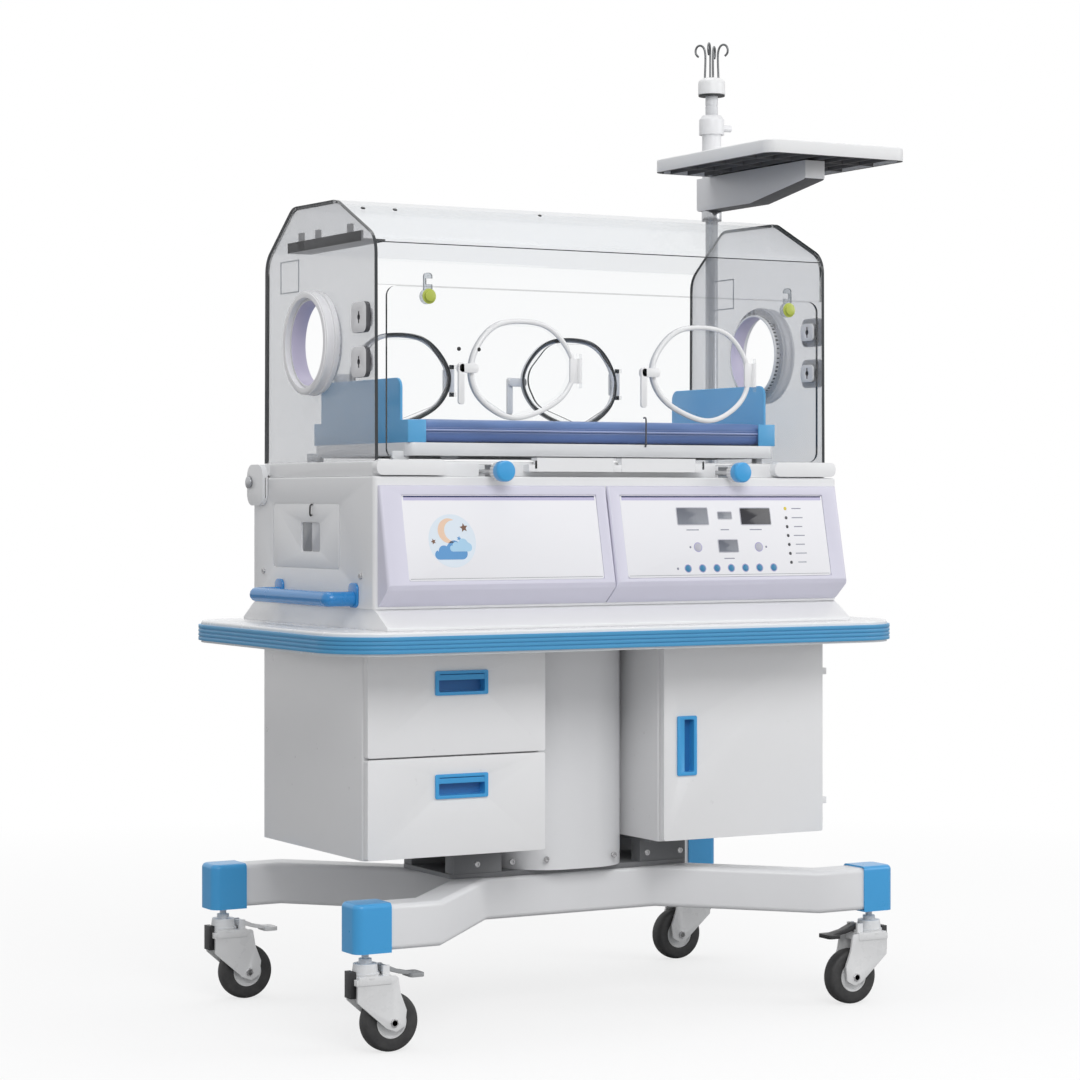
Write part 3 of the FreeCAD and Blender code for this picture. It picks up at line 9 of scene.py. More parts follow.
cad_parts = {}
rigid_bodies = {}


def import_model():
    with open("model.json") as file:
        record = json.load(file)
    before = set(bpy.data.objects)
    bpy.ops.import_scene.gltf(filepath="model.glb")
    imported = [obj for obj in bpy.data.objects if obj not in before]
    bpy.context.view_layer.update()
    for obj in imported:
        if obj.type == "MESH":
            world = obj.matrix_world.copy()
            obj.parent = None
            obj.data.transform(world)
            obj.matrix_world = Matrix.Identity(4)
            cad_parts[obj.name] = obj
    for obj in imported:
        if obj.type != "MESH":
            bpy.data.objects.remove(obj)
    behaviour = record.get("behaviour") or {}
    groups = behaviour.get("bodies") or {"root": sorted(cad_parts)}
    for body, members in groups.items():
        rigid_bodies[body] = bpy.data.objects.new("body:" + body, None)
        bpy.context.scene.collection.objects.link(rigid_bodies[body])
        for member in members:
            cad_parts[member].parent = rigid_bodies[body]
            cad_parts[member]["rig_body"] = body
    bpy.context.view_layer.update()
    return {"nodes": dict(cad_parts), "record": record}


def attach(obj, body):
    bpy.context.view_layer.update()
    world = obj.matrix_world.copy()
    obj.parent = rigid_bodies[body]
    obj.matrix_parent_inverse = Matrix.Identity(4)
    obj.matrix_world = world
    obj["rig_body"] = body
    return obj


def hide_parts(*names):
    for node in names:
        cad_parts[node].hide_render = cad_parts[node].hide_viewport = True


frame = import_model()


# Base bars: two bent box-section steel bars, mitred at their elbows and tied by short cross members.
# They are powder coated in satin white, with the faint orange peel of a sprayed coat.

class Wire:
    """A shader socket that takes part in arithmetic."""

    def __init__(self, finish, socket):
        self.finish = finish
        self.socket = socket

    def maths(self, operation, *values):
        return self.finish.add("ShaderNodeMath", {"operation": operation}, dict(enumerate(values)))

    def __add__(self, other):
        return self.maths("ADD", self, other)

    def __sub__(self, other):
        return self.maths("SUBTRACT", self, other)

    def __rsub__(self, other):
        return self.maths("SUBTRACT", other, self)

    def __mul__(self, other):
        return self.maths("MULTIPLY", self, other)

    def __pow__(self, other):
        return self.maths("POWER", self, other)

    __radd__ = __add__
    __rmul__ = __mul__

    def either(self, other):
        return self.maths("MAXIMUM", self, other)

    def clamped(self):
        return self.finish.add("ShaderNodeClamp", {}, {"Value": self})


class Finish:
    """One surface finish, or the finish of the world around, built up from nodes."""

    def __init__(self, name, world=False):
        self.material = bpy.data.worlds.new(name) if world else bpy.data.materials.new(name)
        self.material.use_nodes = True
        self.tree = self.material.node_tree
        self.tree.nodes.clear()
        self.output = self.tree.nodes.new("ShaderNodeOutputWorld" if world else "ShaderNodeOutputMaterial")

    def add(self, kind, settings, inputs, output=0):
        node = self.tree.nodes.new(kind)
        for word, setting in settings.items():
            setattr(node, word, setting)
        for word, given in inputs.items():
            if isinstance(given, Wire):
                self.tree.links.new(given.socket, node.inputs[word])
            elif isinstance(given, tuple) and len(given) == 3 and node.inputs[word].type == "RGBA":
                node.inputs[word].default_value = (*given, 1)
            else:
                node.inputs[word].default_value = given
        return Wire(self, node.outputs[output])

    def place(self):
        return self.add("ShaderNodeTexCoord", {}, {}, "Object")

    def along(self, letter):
        return self.add("ShaderNodeSeparateXYZ", {}, {"Vector": self.place()}, letter)

    def noise(self, scale, detail=3.0, rough=0.5, stretch=None):
        where = self.place()
        if stretch:
            where = self.add("ShaderNodeMapping", {}, {"Vector": where, "Scale": stretch})
        inputs = {"Vector": where, "Scale": scale, "Detail": detail, "Roughness": rough}
        return self.add("ShaderNodeTexNoise", {}, inputs)

    def blend(self, amount, first, second):
        inputs = {"Factor": amount, 6: first, 7: second}
        return self.add("ShaderNodeMix", {"data_type": "RGBA"}, inputs, 2)

    def bump(self, height, depth, strength=1.0):
        inputs = {"Height": height, "Distance": depth, "Strength": strength}
        return self.add("ShaderNodeBump", {}, inputs)

    def show(self, shader):
        self.tree.links.new(shader.socket, self.output.inputs["Surface"])
        return self.material

    def surface(self, **inputs):
        words = {key.replace("_", " "): given for key, given in inputs.items()}
        return self.show(self.add("ShaderNodeBsdfPrincipled", {}, words))


def coated(name, colour, rough, peel_scale, peel_depth, shade=0.94, metal=0.0, coat=0.0):
    """Paint or moulded plastic: slow drifts of tone, a fine skin and a little unevenness in its gloss."""
    make = Finish(name)
    cloud = make.noise(3.5, 4.0, 0.6)
    grime = make.noise(38.0, 5.0, 0.65)
    worn = tuple(c * shade for c in colour)
    tone = make.blend((cloud * 0.7 + grime * 0.3).clamped(), worn, colour)
    skin = make.noise(peel_scale, 2.0, 0.5)
    gloss = rough + (grime - 0.5) * (rough * 0.45)
    return make.surface(Base_Color=tone, Roughness=gloss, Metallic=metal, Coat_Weight=coat,
                        Coat_Roughness=0.12, Normal=make.bump(skin, peel_depth))


TABLE_MIDDLE = 53.5
WELD = 0.000002


def here(x, y, z):
    """A point given in millimetres from the middle of the table, in the frame's metres."""
    return Vector(((x - TABLE_MIDDLE) / 1000, y / 1000, z / 1000))


def in_mm(point):
    """A point of the frame, in millimetres from the middle of the table."""
    return Vector((point.x * 1000 + TABLE_MIDDLE, point.y * 1000, point.z * 1000))


def settle(obj, angle=35):
    """Turn an object's modifiers into plain mesh and shade it smooth between its edges."""
    mesh = bpy.data.meshes.new_from_object(obj.evaluated_get(bpy.context.evaluated_depsgraph_get()))
    obj.modifiers.clear()
    obj.data = mesh
    mesh.shade_smooth()
    mesh.set_sharp_from_angle(angle=math.radians(angle))
    return obj


def piece(name, mesh, finish, body, slot):
    obj = bpy.data.objects.new(name, mesh)
    bpy.context.scene.collection.objects.link(obj)
    mesh.materials.clear()
    mesh.materials.append(finish)
    obj["going_to"] = body
    obj["slot_name"] = slot
    return obj


def fitted(obj, *nodes):
    """Hang a finished piece on its body and let it stand for the CAD nodes."""
    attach(obj, obj["going_to"])
    if nodes:
        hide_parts(*nodes)
    return obj


def body_of_node(node):
    return frame["nodes"][node]["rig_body"]


def slot_of_node(node):
    return next(s["material_slot"] for s in frame["record"]["subparts"] if s["node"] == node)


def merged(node):
    """A node's own loose triangles, joined at their corners."""
    form = bmesh.new()
    form.from_mesh(frame["nodes"][node].data)
    bmesh.ops.remove_doubles(form, verts=form.verts, dist=WELD)
    return form


def ease_edges(obj, width, segments, angle):
    """A small round, in millimetres, on the edges that are sharper than an angle in degrees."""
    bevel = obj.modifiers.new("edge", "BEVEL")
    bevel.width = width / 1000
    bevel.segments = segments
    bevel.limit_method = "ANGLE"
    bevel.angle_limit = math.radians(angle)


def eased(node, finish, edge=0.9, segments=2):
    """A node's own shape with its corners merged and its edges eased by a small round."""
    mesh = bpy.data.meshes.new(node + "_made")
    form = merged(node)
    bmesh.ops.dissolve_limit(form, angle_limit=math.radians(0.6), verts=form.verts, edges=form.edges)
    form.to_mesh(mesh)
    form.free()
    obj = piece(node + "_made", mesh, finish, body_of_node(node), slot_of_node(node))
    if edge:
        ease_edges(obj, edge, segments, 32)
    return fitted(settle(obj), node)


sprayed_white = coated("sprayed_white", (0.82, 0.825, 0.84), 0.34, 900, 0.00004)
eased("base_bars", sprayed_white, 0)


# End caps: moulded sleeves in bright blue that close the bars and take the caster stems.
# They are thick glossy plastic with generous corners, pushed over the bar ends.

BLUE = (0.055, 0.385, 0.78)
blue_moulding = coated("blue_moulding", BLUE, 0.3, 1400, 0.00002, 0.88, coat=0.15)
eased("base_end_caps", blue_moulding, 0)


# Centre plate and brackets: gray painted plates bolted between the bars and the cabinets.
# They are plain pressed steel under the column, held down by rows of cap screws.

def turned(name, profile, centre, axis, steps):
    """A closed lathe form: profile is (radius, along) in millimetres from one end to the other."""
    axis = Vector(axis).normalized()
    across = axis.orthogonal().normalized()
    third = axis.cross(across)
    mesh = bpy.data.meshes.new(name)
    form = bmesh.new()
    rings = []
    for radius, along in profile:
        middle = centre + axis * (along / 1000)
        if radius < 1e-6:
            rings.append([form.verts.new(middle)])
            continue
        ring = []
        for i in range(steps):
            turn = math.tau * i / steps
            spoke = across * math.cos(turn) + third * math.sin(turn)
            ring.append(form.verts.new(middle + spoke * (radius / 1000)))
        rings.append(ring)
    for low, high in zip(rings, rings[1:] + rings[:1]):
        if len(low) == 1 and len(high) == 1:
            continue
        for i in range(steps):
            j = (i + 1) % steps
            corners = [low[0], high[j], high[i]] if len(low) == 1 else \
                [low[i], low[j], high[0]] if len(high) == 1 else [low[i], low[j], high[j], high[i]]
            form.faces.new(corners)
    bmesh.ops.recalc_face_normals(form, faces=form.faces)
    form.to_mesh(mesh)
    form.free()
    return mesh


class Pattern:
    """A Geometry Nodes tree that lays copies of a small form, with named inputs for its sizes."""

    def __init__(self, name, **inputs):
        self.tree = bpy.data.node_groups.new(name, "GeometryNodeTree")
        self.tree.interface.new_socket("Form", in_out="INPUT", socket_type="NodeSocketGeometry")
        for word, kind in inputs.items():
            self.tree.interface.new_socket(word, in_out="INPUT", socket_type="NodeSocket" + kind)
        self.tree.interface.new_socket("Finish", in_out="INPUT", socket_type="NodeSocketMaterial")
        self.tree.interface.new_socket("Copies", in_out="OUTPUT", socket_type="NodeSocketGeometry")
        self.given = self.node("NodeGroupInput", {}, {})

    def node(self, kind, settings, inputs):
        made = self.tree.nodes.new(kind)
        for word, setting in settings.items():
            setattr(made, word, setting)
        for word, source in inputs.items():
            if isinstance(source, str):
                self.tree.links.new(self.given.outputs[source], made.inputs[word])
            elif hasattr(source, "outputs"):
                self.tree.links.new(source.outputs[0], made.inputs[word])
            else:
                made.inputs[word].default_value = source
        return made

    def finish(self, copies):
        real = self.node("GeometryNodeRealizeInstances", {}, {"Geometry": copies})
        faced = self.node("GeometryNodeSetMaterial", {}, {"Geometry": real, "Material": "Finish"})
        self.node("NodeGroupOutput", {}, {0: faced})

    def lay(self, name, form, finish, body, slot, **sizes):
        obj = piece(name, form, finish, body, slot)
        modifier = obj.modifiers.new("copies", "NODES")
        modifier.node_group = self.tree
        sizes["Finish"] = finish
        for item in self.tree.interface.items_tree:
            if item.item_type == "SOCKET" and item.in_out == "INPUT" and item.name in sizes:
                modifier[item.identifier] = sizes[item.name]
        return fitted(settle(obj))


in_a_line = Pattern("copies_in_a_line", Count="Int", Start="Vector", Step="Vector")
line = in_a_line.node("GeometryNodeMeshLine", {"mode": "OFFSET"},
                      {"Count": "Count", "Start Location": "Start", "Offset": "Step"})
in_a_line.finish(in_a_line.node("GeometryNodeInstanceOnPoints", {}, {"Points": line, "Instance": "Form"}))

gray_paint = coated("gray_paint", (0.2, 0.205, 0.215), 0.45, 700, 0.00004, 0.8)
bolt_steel = coated("bolt_steel", (0.6, 0.6, 0.61), 0.28, 2200, 0.00002, 0.8, metal=1.0)
eased("base_centre_plate", gray_paint, 0.8)
CAP_SCREW = [(0, 0), (5.4, 0), (5.4, 2.6), (4.6, 3.4), (2.7, 3.4), (2.4, 1.6), (0, 1.4)]
for side, y in (("front", -1), ("back", 1)):
    screw = turned("plate_screw", CAP_SCREW, Vector(), (0, y, 0), 18)
    in_a_line.lay(side + "_plate_screws", screw, bolt_steel, body_of_node("base_centre_plate"), "steel",
                  Count=7, Start=tuple(here(-210, y * 126.4, 276)), Step=(0.07, 0, 0))


# Column: a rolled sheet steel post with wide round corners.
# It is welded to the plate below the table and sprayed white like the base.

eased("centre_column", sprayed_white, 0)


# Casters: white die-cast forks on threaded stems, each with a black rubber tyre on a white hub.
# The tyre is moulded over the hub, the axle is a bolt, and a brake pedal hangs on the fork.

def tyre_finish():
    make = Finish("caster_rubber")
    dust = make.noise(55, 5, 0.7)
    tone = make.blend(((dust ** 2) * 1.6).clamped(), (0.022, 0.022, 0.024), (0.062, 0.061, 0.06))
    grain = make.noise(1500, 2, 0.5)
    return make.surface(Base_Color=tone, Roughness=0.5 + dust * 0.2, Normal=make.bump(grain, 0.00006))


def faced(obj, finish, test):
    """Give a second finish to the faces whose middle (mm) and normal pass the test."""
    obj.data.materials.append(finish)
    number = len(obj.data.materials) - 1
    for face in obj.data.polygons:
        if test(in_mm(face.center), face.normal):
            face.material_index = number
    return obj


def lathed(name, profile, centre, axis, steps, finish, body, slot, *nodes, angle=35):
    """A turned piece with its finish, settled and hung on its body."""
    obj = piece(name, turned(name, profile, centre, axis, steps), finish, body, slot)
    return fitted(settle(obj, angle), *nodes)


caster_rubber = tyre_finish()
hub_white = coated("hub_white", (0.78, 0.785, 0.79), 0.3, 1200, 0.00003, 0.9)
fork_white = coated("fork_white", (0.83, 0.835, 0.84), 0.28, 800, 0.00004, 0.9)
guard_black = coated("guard_black", (0.02, 0.02, 0.022), 0.4, 900, 0.00005, 0.7)
pedal_gray = coated("pedal_gray", (0.36, 0.37, 0.38), 0.5, 1500, 0.00006, 0.85)
PEDALS = {"front_left": pedal_gray, "front_right": guard_black,
          "back_left": fork_white, "back_right": guard_black}
TYRE = [(28, -13.8), (43, -15), (46.5, -13.6), (48.6, -11), (49.6, -7), (50, -2.5), (50, 2.5), (49.6, 7),
        (48.6, 11), (46.5, 13.6), (43, 15), (28, 13.8), (27, 12), (27, -12)]
HUB = [(5.06, -14.8), (13, -14.8), (14, -13.8), (14.6, -11.4), (23, -10.4), (25.4, -12.9), (27.1, -12.9),
       (27.1, 12.9), (25.4, 12.9), (23, 10.4), (14.6, 11.4), (14, 13.8), (13, 14.8), (5.06, 14.8)]
SWIVEL = [(20.2, 124.6), (24, 124.6), (24.4, 125.6), (24.4, 128.4), (23.4, 129.4), (23.4, 130.6),
          (24, 131.6), (24, 134), (23, 135), (20.2, 135)]
AXLE_NUT = [(0, 22.3), (7.6, 22.3), (7.6, 24.2), (6.8, 25), (0, 25)]
STEM_X, STEM_Y = 511, 297
TRAIL = 43
WHEEL_RADIUS = 50

for corner, sx, sy in (("front_left", -1, -1), ("front_right", 1, -1),
                       ("back_left", -1, 1), ("back_right", 1, 1)):
    wheel = corner + "_wheel"
    fork_body = body_of_node(corner + "_fork")
    middle = here(sx * (STEM_X - TRAIL), sy * STEM_Y, WHEEL_RADIUS)
    lathed(corner + "_tyre", TYRE, middle, (0, 1, 0), 96, caster_rubber, wheel, "dark_rubber", wheel, angle=50)
    lathed(corner + "_hub", HUB, middle, (0, 1, 0), 72, hub_white, wheel, "dark_rubber", angle=40)
    faced(eased(corner + "_fork", fork_white, 0.9), guard_black,
          lambda at, n: abs(at.x) > 532 and 92 < at.z < 140 and abs(abs(at.y) - STEM_Y) < 12.6)
    eased(corner + "_pedal", PEDALS[corner], 1.2)
    lathed(corner + "_swivel", SWIVEL, here(sx * STEM_X, sy * STEM_Y, 0), (0, 0, 1), 72, fork_white,
           fork_body, "caster_metal", angle=40)
    for word, end in (("near", -1), ("far", 1)):
        lathed("%s_axle_%s" % (corner, word), AXLE_NUT, middle, (0, end, 0), 6, bolt_steel, fork_body,
               "caster_metal", angle=30)


# Cabinets: folded sheet-steel boxes on the brackets, painted smooth white.
# The left one has two drawers on runners, the right one a door on two knuckle hinges.

smooth_white = coated("smooth_white", (0.86, 0.862, 0.87), 0.3, 420, 0.00003, 0.96)
for node in ("left_cabinet", "right_cabinet"):
    eased(node, smooth_white, 0.7)
for node in ("upper_drawer", "lower_drawer", "cabinet_door"):
    eased(node, smooth_white, 1.1, 3)


# Recessed grips: blue moulded cups snapped into the drawer fronts and the door.
# A rounded finger bar crosses each cup, and the back of the cup is painted a darker blue for the shade that
# lies there.

# Painted shade: a darker blue for the recessed back of each grip cup.
grip_shade_blue = coated("grip_shade_blue", (0.02, 0.19, 0.5), 0.4, 1400, 0.00002, 0.8)
for node in ("upper_drawer_handle", "lower_drawer_handle", "cabinet_door_handle"):
    grip = eased(node, blue_moulding, 1.0, 3)
    # The faces deep in the cup take the painted shade.
    faced(grip, grip_shade_blue, lambda at, n: at.y > -203 and n.y < -0.7)


# Table: a white laminated board with wide corners and a blue edge band with pressed grooves.
# The band is a soft extrusion, tapped into a slot and a little duller than the mouldings.

table_white = coated("table_white", (0.84, 0.845, 0.855), 0.26, 600, 0.00003, 0.96)
eased("table_top", table_white, 0)
band_blue = coated("band_blue", (0.07, 0.34, 0.62), 0.34, 700, 0.00004, 0.86)
eased("table_edge_band", band_blue, 0.5, 2)


# Lower casing: a moulded white housing on a flared skirt, with fascias clipped over its front.
# The end walls carry a window, an embossed line, a small hook and a plated hinge cover.

def flat_mesh(name, outline, origin, right, up, thick):
    """A sheet cut to an outline, points given in millimetres on the right and up directions."""
    right = Vector(right).normalized()
    up = Vector(up).normalized()
    out = right.cross(up)
    mesh = bpy.data.meshes.new(name)
    form = bmesh.new()
    low = [form.verts.new(origin + (right * u + up * v) / 1000) for u, v in outline]
    high = [form.verts.new(vert.co + out * (thick / 1000)) for vert in low]
    form.faces.new(low)
    form.faces.new(high)
    for i in range(len(low)):
        j = (i + 1) % len(low)
        form.faces.new([low[i], low[j], high[j], high[i]])
    bmesh.ops.recalc_face_normals(form, faces=form.faces)
    form.to_mesh(mesh)
    form.free()
    return mesh


def rounded(u0, u1, v0, v1, corner, steps=6):
    """A rectangle with round corners."""
    points = []
    for cu, cv, start in ((u1 - corner, v0 + corner, -90), (u1 - corner, v1 - corner, 0),
                          (u0 + corner, v1 - corner, 90), (u0 + corner, v0 + corner, 180)):
        for i in range(steps + 1):
            turn = math.radians(start + 90 * i / steps)
            points.append((cu + corner * math.cos(turn), cv + corner * math.sin(turn)))
    return points


def sheet_piece(name, outline, origin, right, up, thick, finish, node, edge=0.0):
    """A flat cut piece on the body of a node, with its edges eased."""
    obj = piece(name, flat_mesh(name, outline, origin, right, up, thick), finish, body_of_node(node),
                slot_of_node(node))
    if edge:
        ease_edges(obj, edge, 2, 40)
    return fitted(settle(obj))


def tube_mesh(name, points, radius, fineness, steps=12, closed=False):
    """A round tube through points of the frame: a smooth capped run, or a closed ring."""
    curve = bpy.data.curves.new(name, "CURVE")
    curve.dimensions = "3D"
    curve.bevel_depth = radius / 1000
    curve.bevel_resolution = fineness
    curve.resolution_u = steps
    curve.use_fill_caps = not closed
    spline = curve.splines.new("POLY" if closed else "NURBS")
    spline.points.add(len(points) - 1)
    for control, at in zip(spline.points, points):
        control.co = (*at, 1)
    if closed:
        spline.use_cyclic_u = True
    else:
        spline.order_u = 3
        spline.use_endpoint_u = True
    source = bpy.data.objects.new(name + "_path", curve)
    bpy.context.scene.collection.objects.link(source)
    mesh = bpy.data.meshes.new_from_object(source.evaluated_get(bpy.context.evaluated_depsgraph_get()))
    bpy.data.objects.remove(source)
    return mesh


def wire_piece(name, points, radius, finish, node, steps=8):
    """A bent wire or tube through points in millimetres, made a plain mesh."""
    mesh = tube_mesh(name, [here(*at) for at in points], radius, 5, steps)
    return fitted(settle(piece(name, mesh, finish, body_of_node(node), slot_of_node(node)), 50))


housing_white = coated("housing_white", (0.845, 0.85, 0.86), 0.33, 1100, 0.00003, 0.95)
eased("casing_skirt", housing_white, 1.2, 3)
eased("lower_casing", housing_white, 1.2, 3)
window_gray = coated("window_gray", (0.3, 0.31, 0.33), 0.3, 500, 0.00003, 0.8)
window_pale = coated("window_pale", (0.62, 0.63, 0.66), 0.25, 500, 0.00003, 0.85)
CASING_END = 472
WINDOW_BACK = 469
SIDES = (("left", -1), ("right", 1))
for word, side in SIDES:
    pane = here(side * (WINDOW_BACK - 0.1), 0, 0)
    for shade, u0, u1, finish in (("dark", -37, 0, window_gray), ("pale", 0.6, 37, window_pale)):
        sheet_piece("%s_window_%s" % (word, shade), rounded(u0, u1, 826, 876, 4), pane, (0, side, 0), (0, 0, 1),
                    1.0, finish, "lower_casing", 0.2)
    hook = ((472.0, 908), (476.5, 908), (477, 898), (477, 891), (475.6, 887.5), (473.4, 890))
    wire_piece(word + "_cable_hook", [(side * x, -7, z) for x, z in hook], 1.5, guard_black, "lower_casing")
    cap = turned("end_screw", CAP_SCREW, Vector(), (side, 0, 0), 20)
    in_a_line.lay(word + "_end_screws", cap, bolt_steel, body_of_node("lower_casing"), "steel",
                  Count=2, Start=tuple(here(side * CASING_END, -200.7, 787.3)), Step=(0, 0.4014, 0))


# Fascias: two broad frames with rolled edges, snapped over the sloping front, coloured lilac-gray as painted
# shade for the soft shading over their curves.
# Each holds a white printed film in a shallow recess, with a navy line along its top.

LEAN = 0.2152
ALONG_SLOPE = math.hypot(1, LEAN)
SLOPE_UP = Vector((0, LEAN, 1)).normalized()
OUTWARD = Vector((1, 0, 0)).cross(SLOPE_UP)
FOOT_OF_SLOPE = -257 - 930 * LEAN


def on_front(lift):
    """The origin for outlines on the sloping front, at a height above its face in millimetres."""
    return here(0, FOOT_OF_SLOPE, 0) + OUTWARD * (lift / 1000)


def slid(points):
    """Outline points whose second number is a height above the floor, laid on the slope."""
    return [(x, z * ALONG_SLOPE) for x, z in points]


def film_piece(name, points, low, high, finish, node, edge=0.0):
    return sheet_piece(name, slid(points), on_front(low), (1, 0, 0), SLOPE_UP, high - low, finish, node, edge)


# Painted shade: the frames' lilac-gray stands in for the soft shading that falls over their rolled curves.
fascia_lilac_shade = coated("fascia_lilac_shade", (0.7, 0.69, 0.8), 0.34, 1100, 0.00003, 0.95)
film_white = coated("film_white", (0.85, 0.85, 0.88), 0.4, 700, 0.000004, 0.985)
navy_print = coated("navy_print", (0.012, 0.014, 0.1), 0.35, 1200, 0.00001, 0.85)
violet_print = coated("violet_print", (0.56, 0.53, 0.74), 0.32, 1200, 0.00001, 0.93)
for node in ("left_fascia", "control_fascia"):
    eased(node, fascia_lilac_shade, 1.4, 3)
LINES = (("navy", 920.6, 923.2, 1, -0.85, navy_print), ("violet", 915.5, 920.4, 1, -0.87, violet_print),
         ("lower", 783, 783.8, 0.3, -0.87, window_gray))
for word, node, x0, x1 in (("left", "left_fascia", -424.6, -45.4), ("control", "control_panel", 3.6, 433.4)):
    film = film_piece(word + "_film", rounded(x0, x1, 779.8, 924.4, 5), -2.4, -1, film_white, node, 0.3)
    if node == "control_panel":
        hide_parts("control_panel")
    for line, z0, z1, corner, high, ink in LINES:
        film_piece("%s_%s_line" % (word, line), rounded(x0 + 3, x1 - 3, z0, z1, corner), -1.2, high, ink, node)


# Left picture: a plain night sky of soft round shapes, printed in peach, brown and blues.
# It is a thin film on the left panel: a moon, two clouds and a few stars over a pale disc.

def disc_points(cx, cz, radius, steps):
    return [(cx + radius * math.cos(math.tau * i / steps), cz + radius * math.sin(math.tau * i / steps))
            for i in range(steps)]


def star_points(cx, cz, radius, turn=0.0):
    points = []
    for i in range(10):
        reach = radius if i % 2 == 0 else radius * 0.46
        angle = math.radians(90 + turn + 36 * i)
        points.append((cx + reach * math.cos(angle), cz + reach * math.sin(angle)))
    return points


def crescent_points(cx, cz, radius):
    points = [(cx + radius * math.cos(math.radians(a)), cz + radius * math.sin(math.radians(a)))
              for a in range(60, 301, 8)]
    return points + [(cx + radius * 0.42 + radius * 0.84 * math.cos(math.radians(a)),
                      cz + radius * 0.84 * math.sin(math.radians(a))) for a in range(262, 97, -8)]


def cloud_points(cx, cz, size):
    points = []
    for dx, dz, radius, start, stop in ((0.9, 0.0, 0.42, -88, 60), (0.35, 0.32, 0.55, 20, 150),
                                        (-0.45, 0.12, 0.42, 60, 180), (-0.85, -0.1, 0.32, 110, 268)):
        for i in range(9):
            turn = math.radians(start + (stop - start) * i / 8)
            points.append((cx + size * (dx + radius * math.cos(turn)),
                           cz + size * (dz + radius * math.sin(turn))))
    return points


peach_print = coated("peach_print", (0.86, 0.62, 0.46), 0.35, 1500, 0.00001, 0.9)
brown_print = coated("brown_print", (0.2, 0.1, 0.06), 0.35, 1500, 0.00001, 0.8)
sky_print = coated("sky_print", (0.42, 0.66, 0.86), 0.35, 1500, 0.00001, 0.9)
mid_print = coated("mid_print", (0.12, 0.34, 0.66), 0.35, 1500, 0.00001, 0.85)
pale_print = coated("pale_print", (0.74, 0.82, 0.9), 0.35, 1500, 0.00001, 0.95)
PICTURE = (("picture_disc", disc_points(-336, 847, 45, 56), pale_print, 0.0),
           ("picture_moon", crescent_points(-341, 864, 21), peach_print, 0.12),
           ("picture_cloud_low", cloud_points(-342, 826, 25), mid_print, 0.12),
           ("picture_cloud_high", cloud_points(-322, 836, 17), sky_print, 0.24),
           ("picture_star_one", star_points(-312, 869, 8, 8), brown_print, 0.12),
           ("picture_star_two", star_points(-323, 851, 4.6, -12), mid_print, 0.12),
           ("picture_star_three", star_points(-372, 846, 5.2, 20), brown_print, 0.12))
for name, outline, finish, lift in PICTURE:
    film_piece(name, outline, -1.1, -0.85 + lift, finish, "left_fascia")


# Control panel: a printed film over membrane keys, in a recess of the right fascia.
# Smoked windows cover the number displays, the round keys are domed, and lamps run down one side.

def display_finish(name, dark, light, low, high):
    """A smoked window, a little lighter toward its foot, with the faint grid of a display behind it."""
    make = Finish(name)
    height = (make.along("Z") - low / 1000) * (1000 / (high - low))
    tone = make.blend(height.clamped(), light, dark)
    grid = make.noise(260, 1, 0.4, (1, 0.2, 0.2))
    return make.surface(Base_Color=make.blend(grid * 0.35, tone, dark), Roughness=0.1 + grid * 0.06,
                        Normal=make.bump(grid, 0.00001))


DISPLAYS = (("main", 118, 181.5, 873, 901.6, (0.12, 0.13, 0.16), (0.24, 0.26, 0.3)),
            ("small", 204, 232, 883, 894, (0.16, 0.17, 0.2), (0.3, 0.32, 0.36)),
            ("black", 252, 315, 872.5, 901, (0.012, 0.012, 0.016), (0.03, 0.03, 0.04)),
            ("centre", 198.5, 238.5, 824, 844.5, (0.1, 0.11, 0.14), (0.2, 0.22, 0.26)))
bezel_gray = coated("bezel_gray", (0.5, 0.5, 0.56), 0.3, 1500, 0.00001, 0.9)
for word, x0, x1, z0, z1, dark, light in DISPLAYS:
    film_piece(word + "_bezel", rounded(x0 - 1.6, x1 + 1.6, z0 - 1.6, z1 + 1.6, 2.4), -1.2, -0.5, bezel_gray,
               "control_panel", 0.2)
    film_piece(word + "_window", rounded(x0, x1, z0, z1, 1.4), -0.9, -0.1,
               display_finish(word + "_window", dark, light, z0, z1), "control_panel", 0.2)
key_teal = coated("key_teal", (0.03, 0.22, 0.42), 0.28, 2000, 0.00002, 0.8)
key_violet = coated("key_violet", (0.42, 0.4, 0.62), 0.3, 2000, 0.00002, 0.9)
mark_gray = coated("mark_gray", (0.25, 0.26, 0.33), 0.4, 2000, 0.00001, 0.85)


def dome(radius, height):
    return [(0, height), (radius * 0.45, height * 0.94), (radius * 0.8, height * 0.66), (radius, 0.1),
            (radius, -0.6), (0, -0.6)]


def row_of(name, radius, height, finish, x, z, count, step_x, step_z=0.0, steps=20):
    """A row of domed keys or lamps on the panel's film."""
    form = turned(name, dome(radius, height), Vector(), OUTWARD, steps)
    start = on_front(-1) + (Vector((x, 0, 0)) + SLOPE_UP * (z * ALONG_SLOPE)) / 1000
    step = (Vector((step_x, 0, 0)) + SLOPE_UP * (step_z * ALONG_SLOPE)) / 1000
    return in_a_line.lay(name, form, finish, body_of_node("control_panel"), "control_film", Count=count,
                         Start=tuple(start), Step=tuple(step))


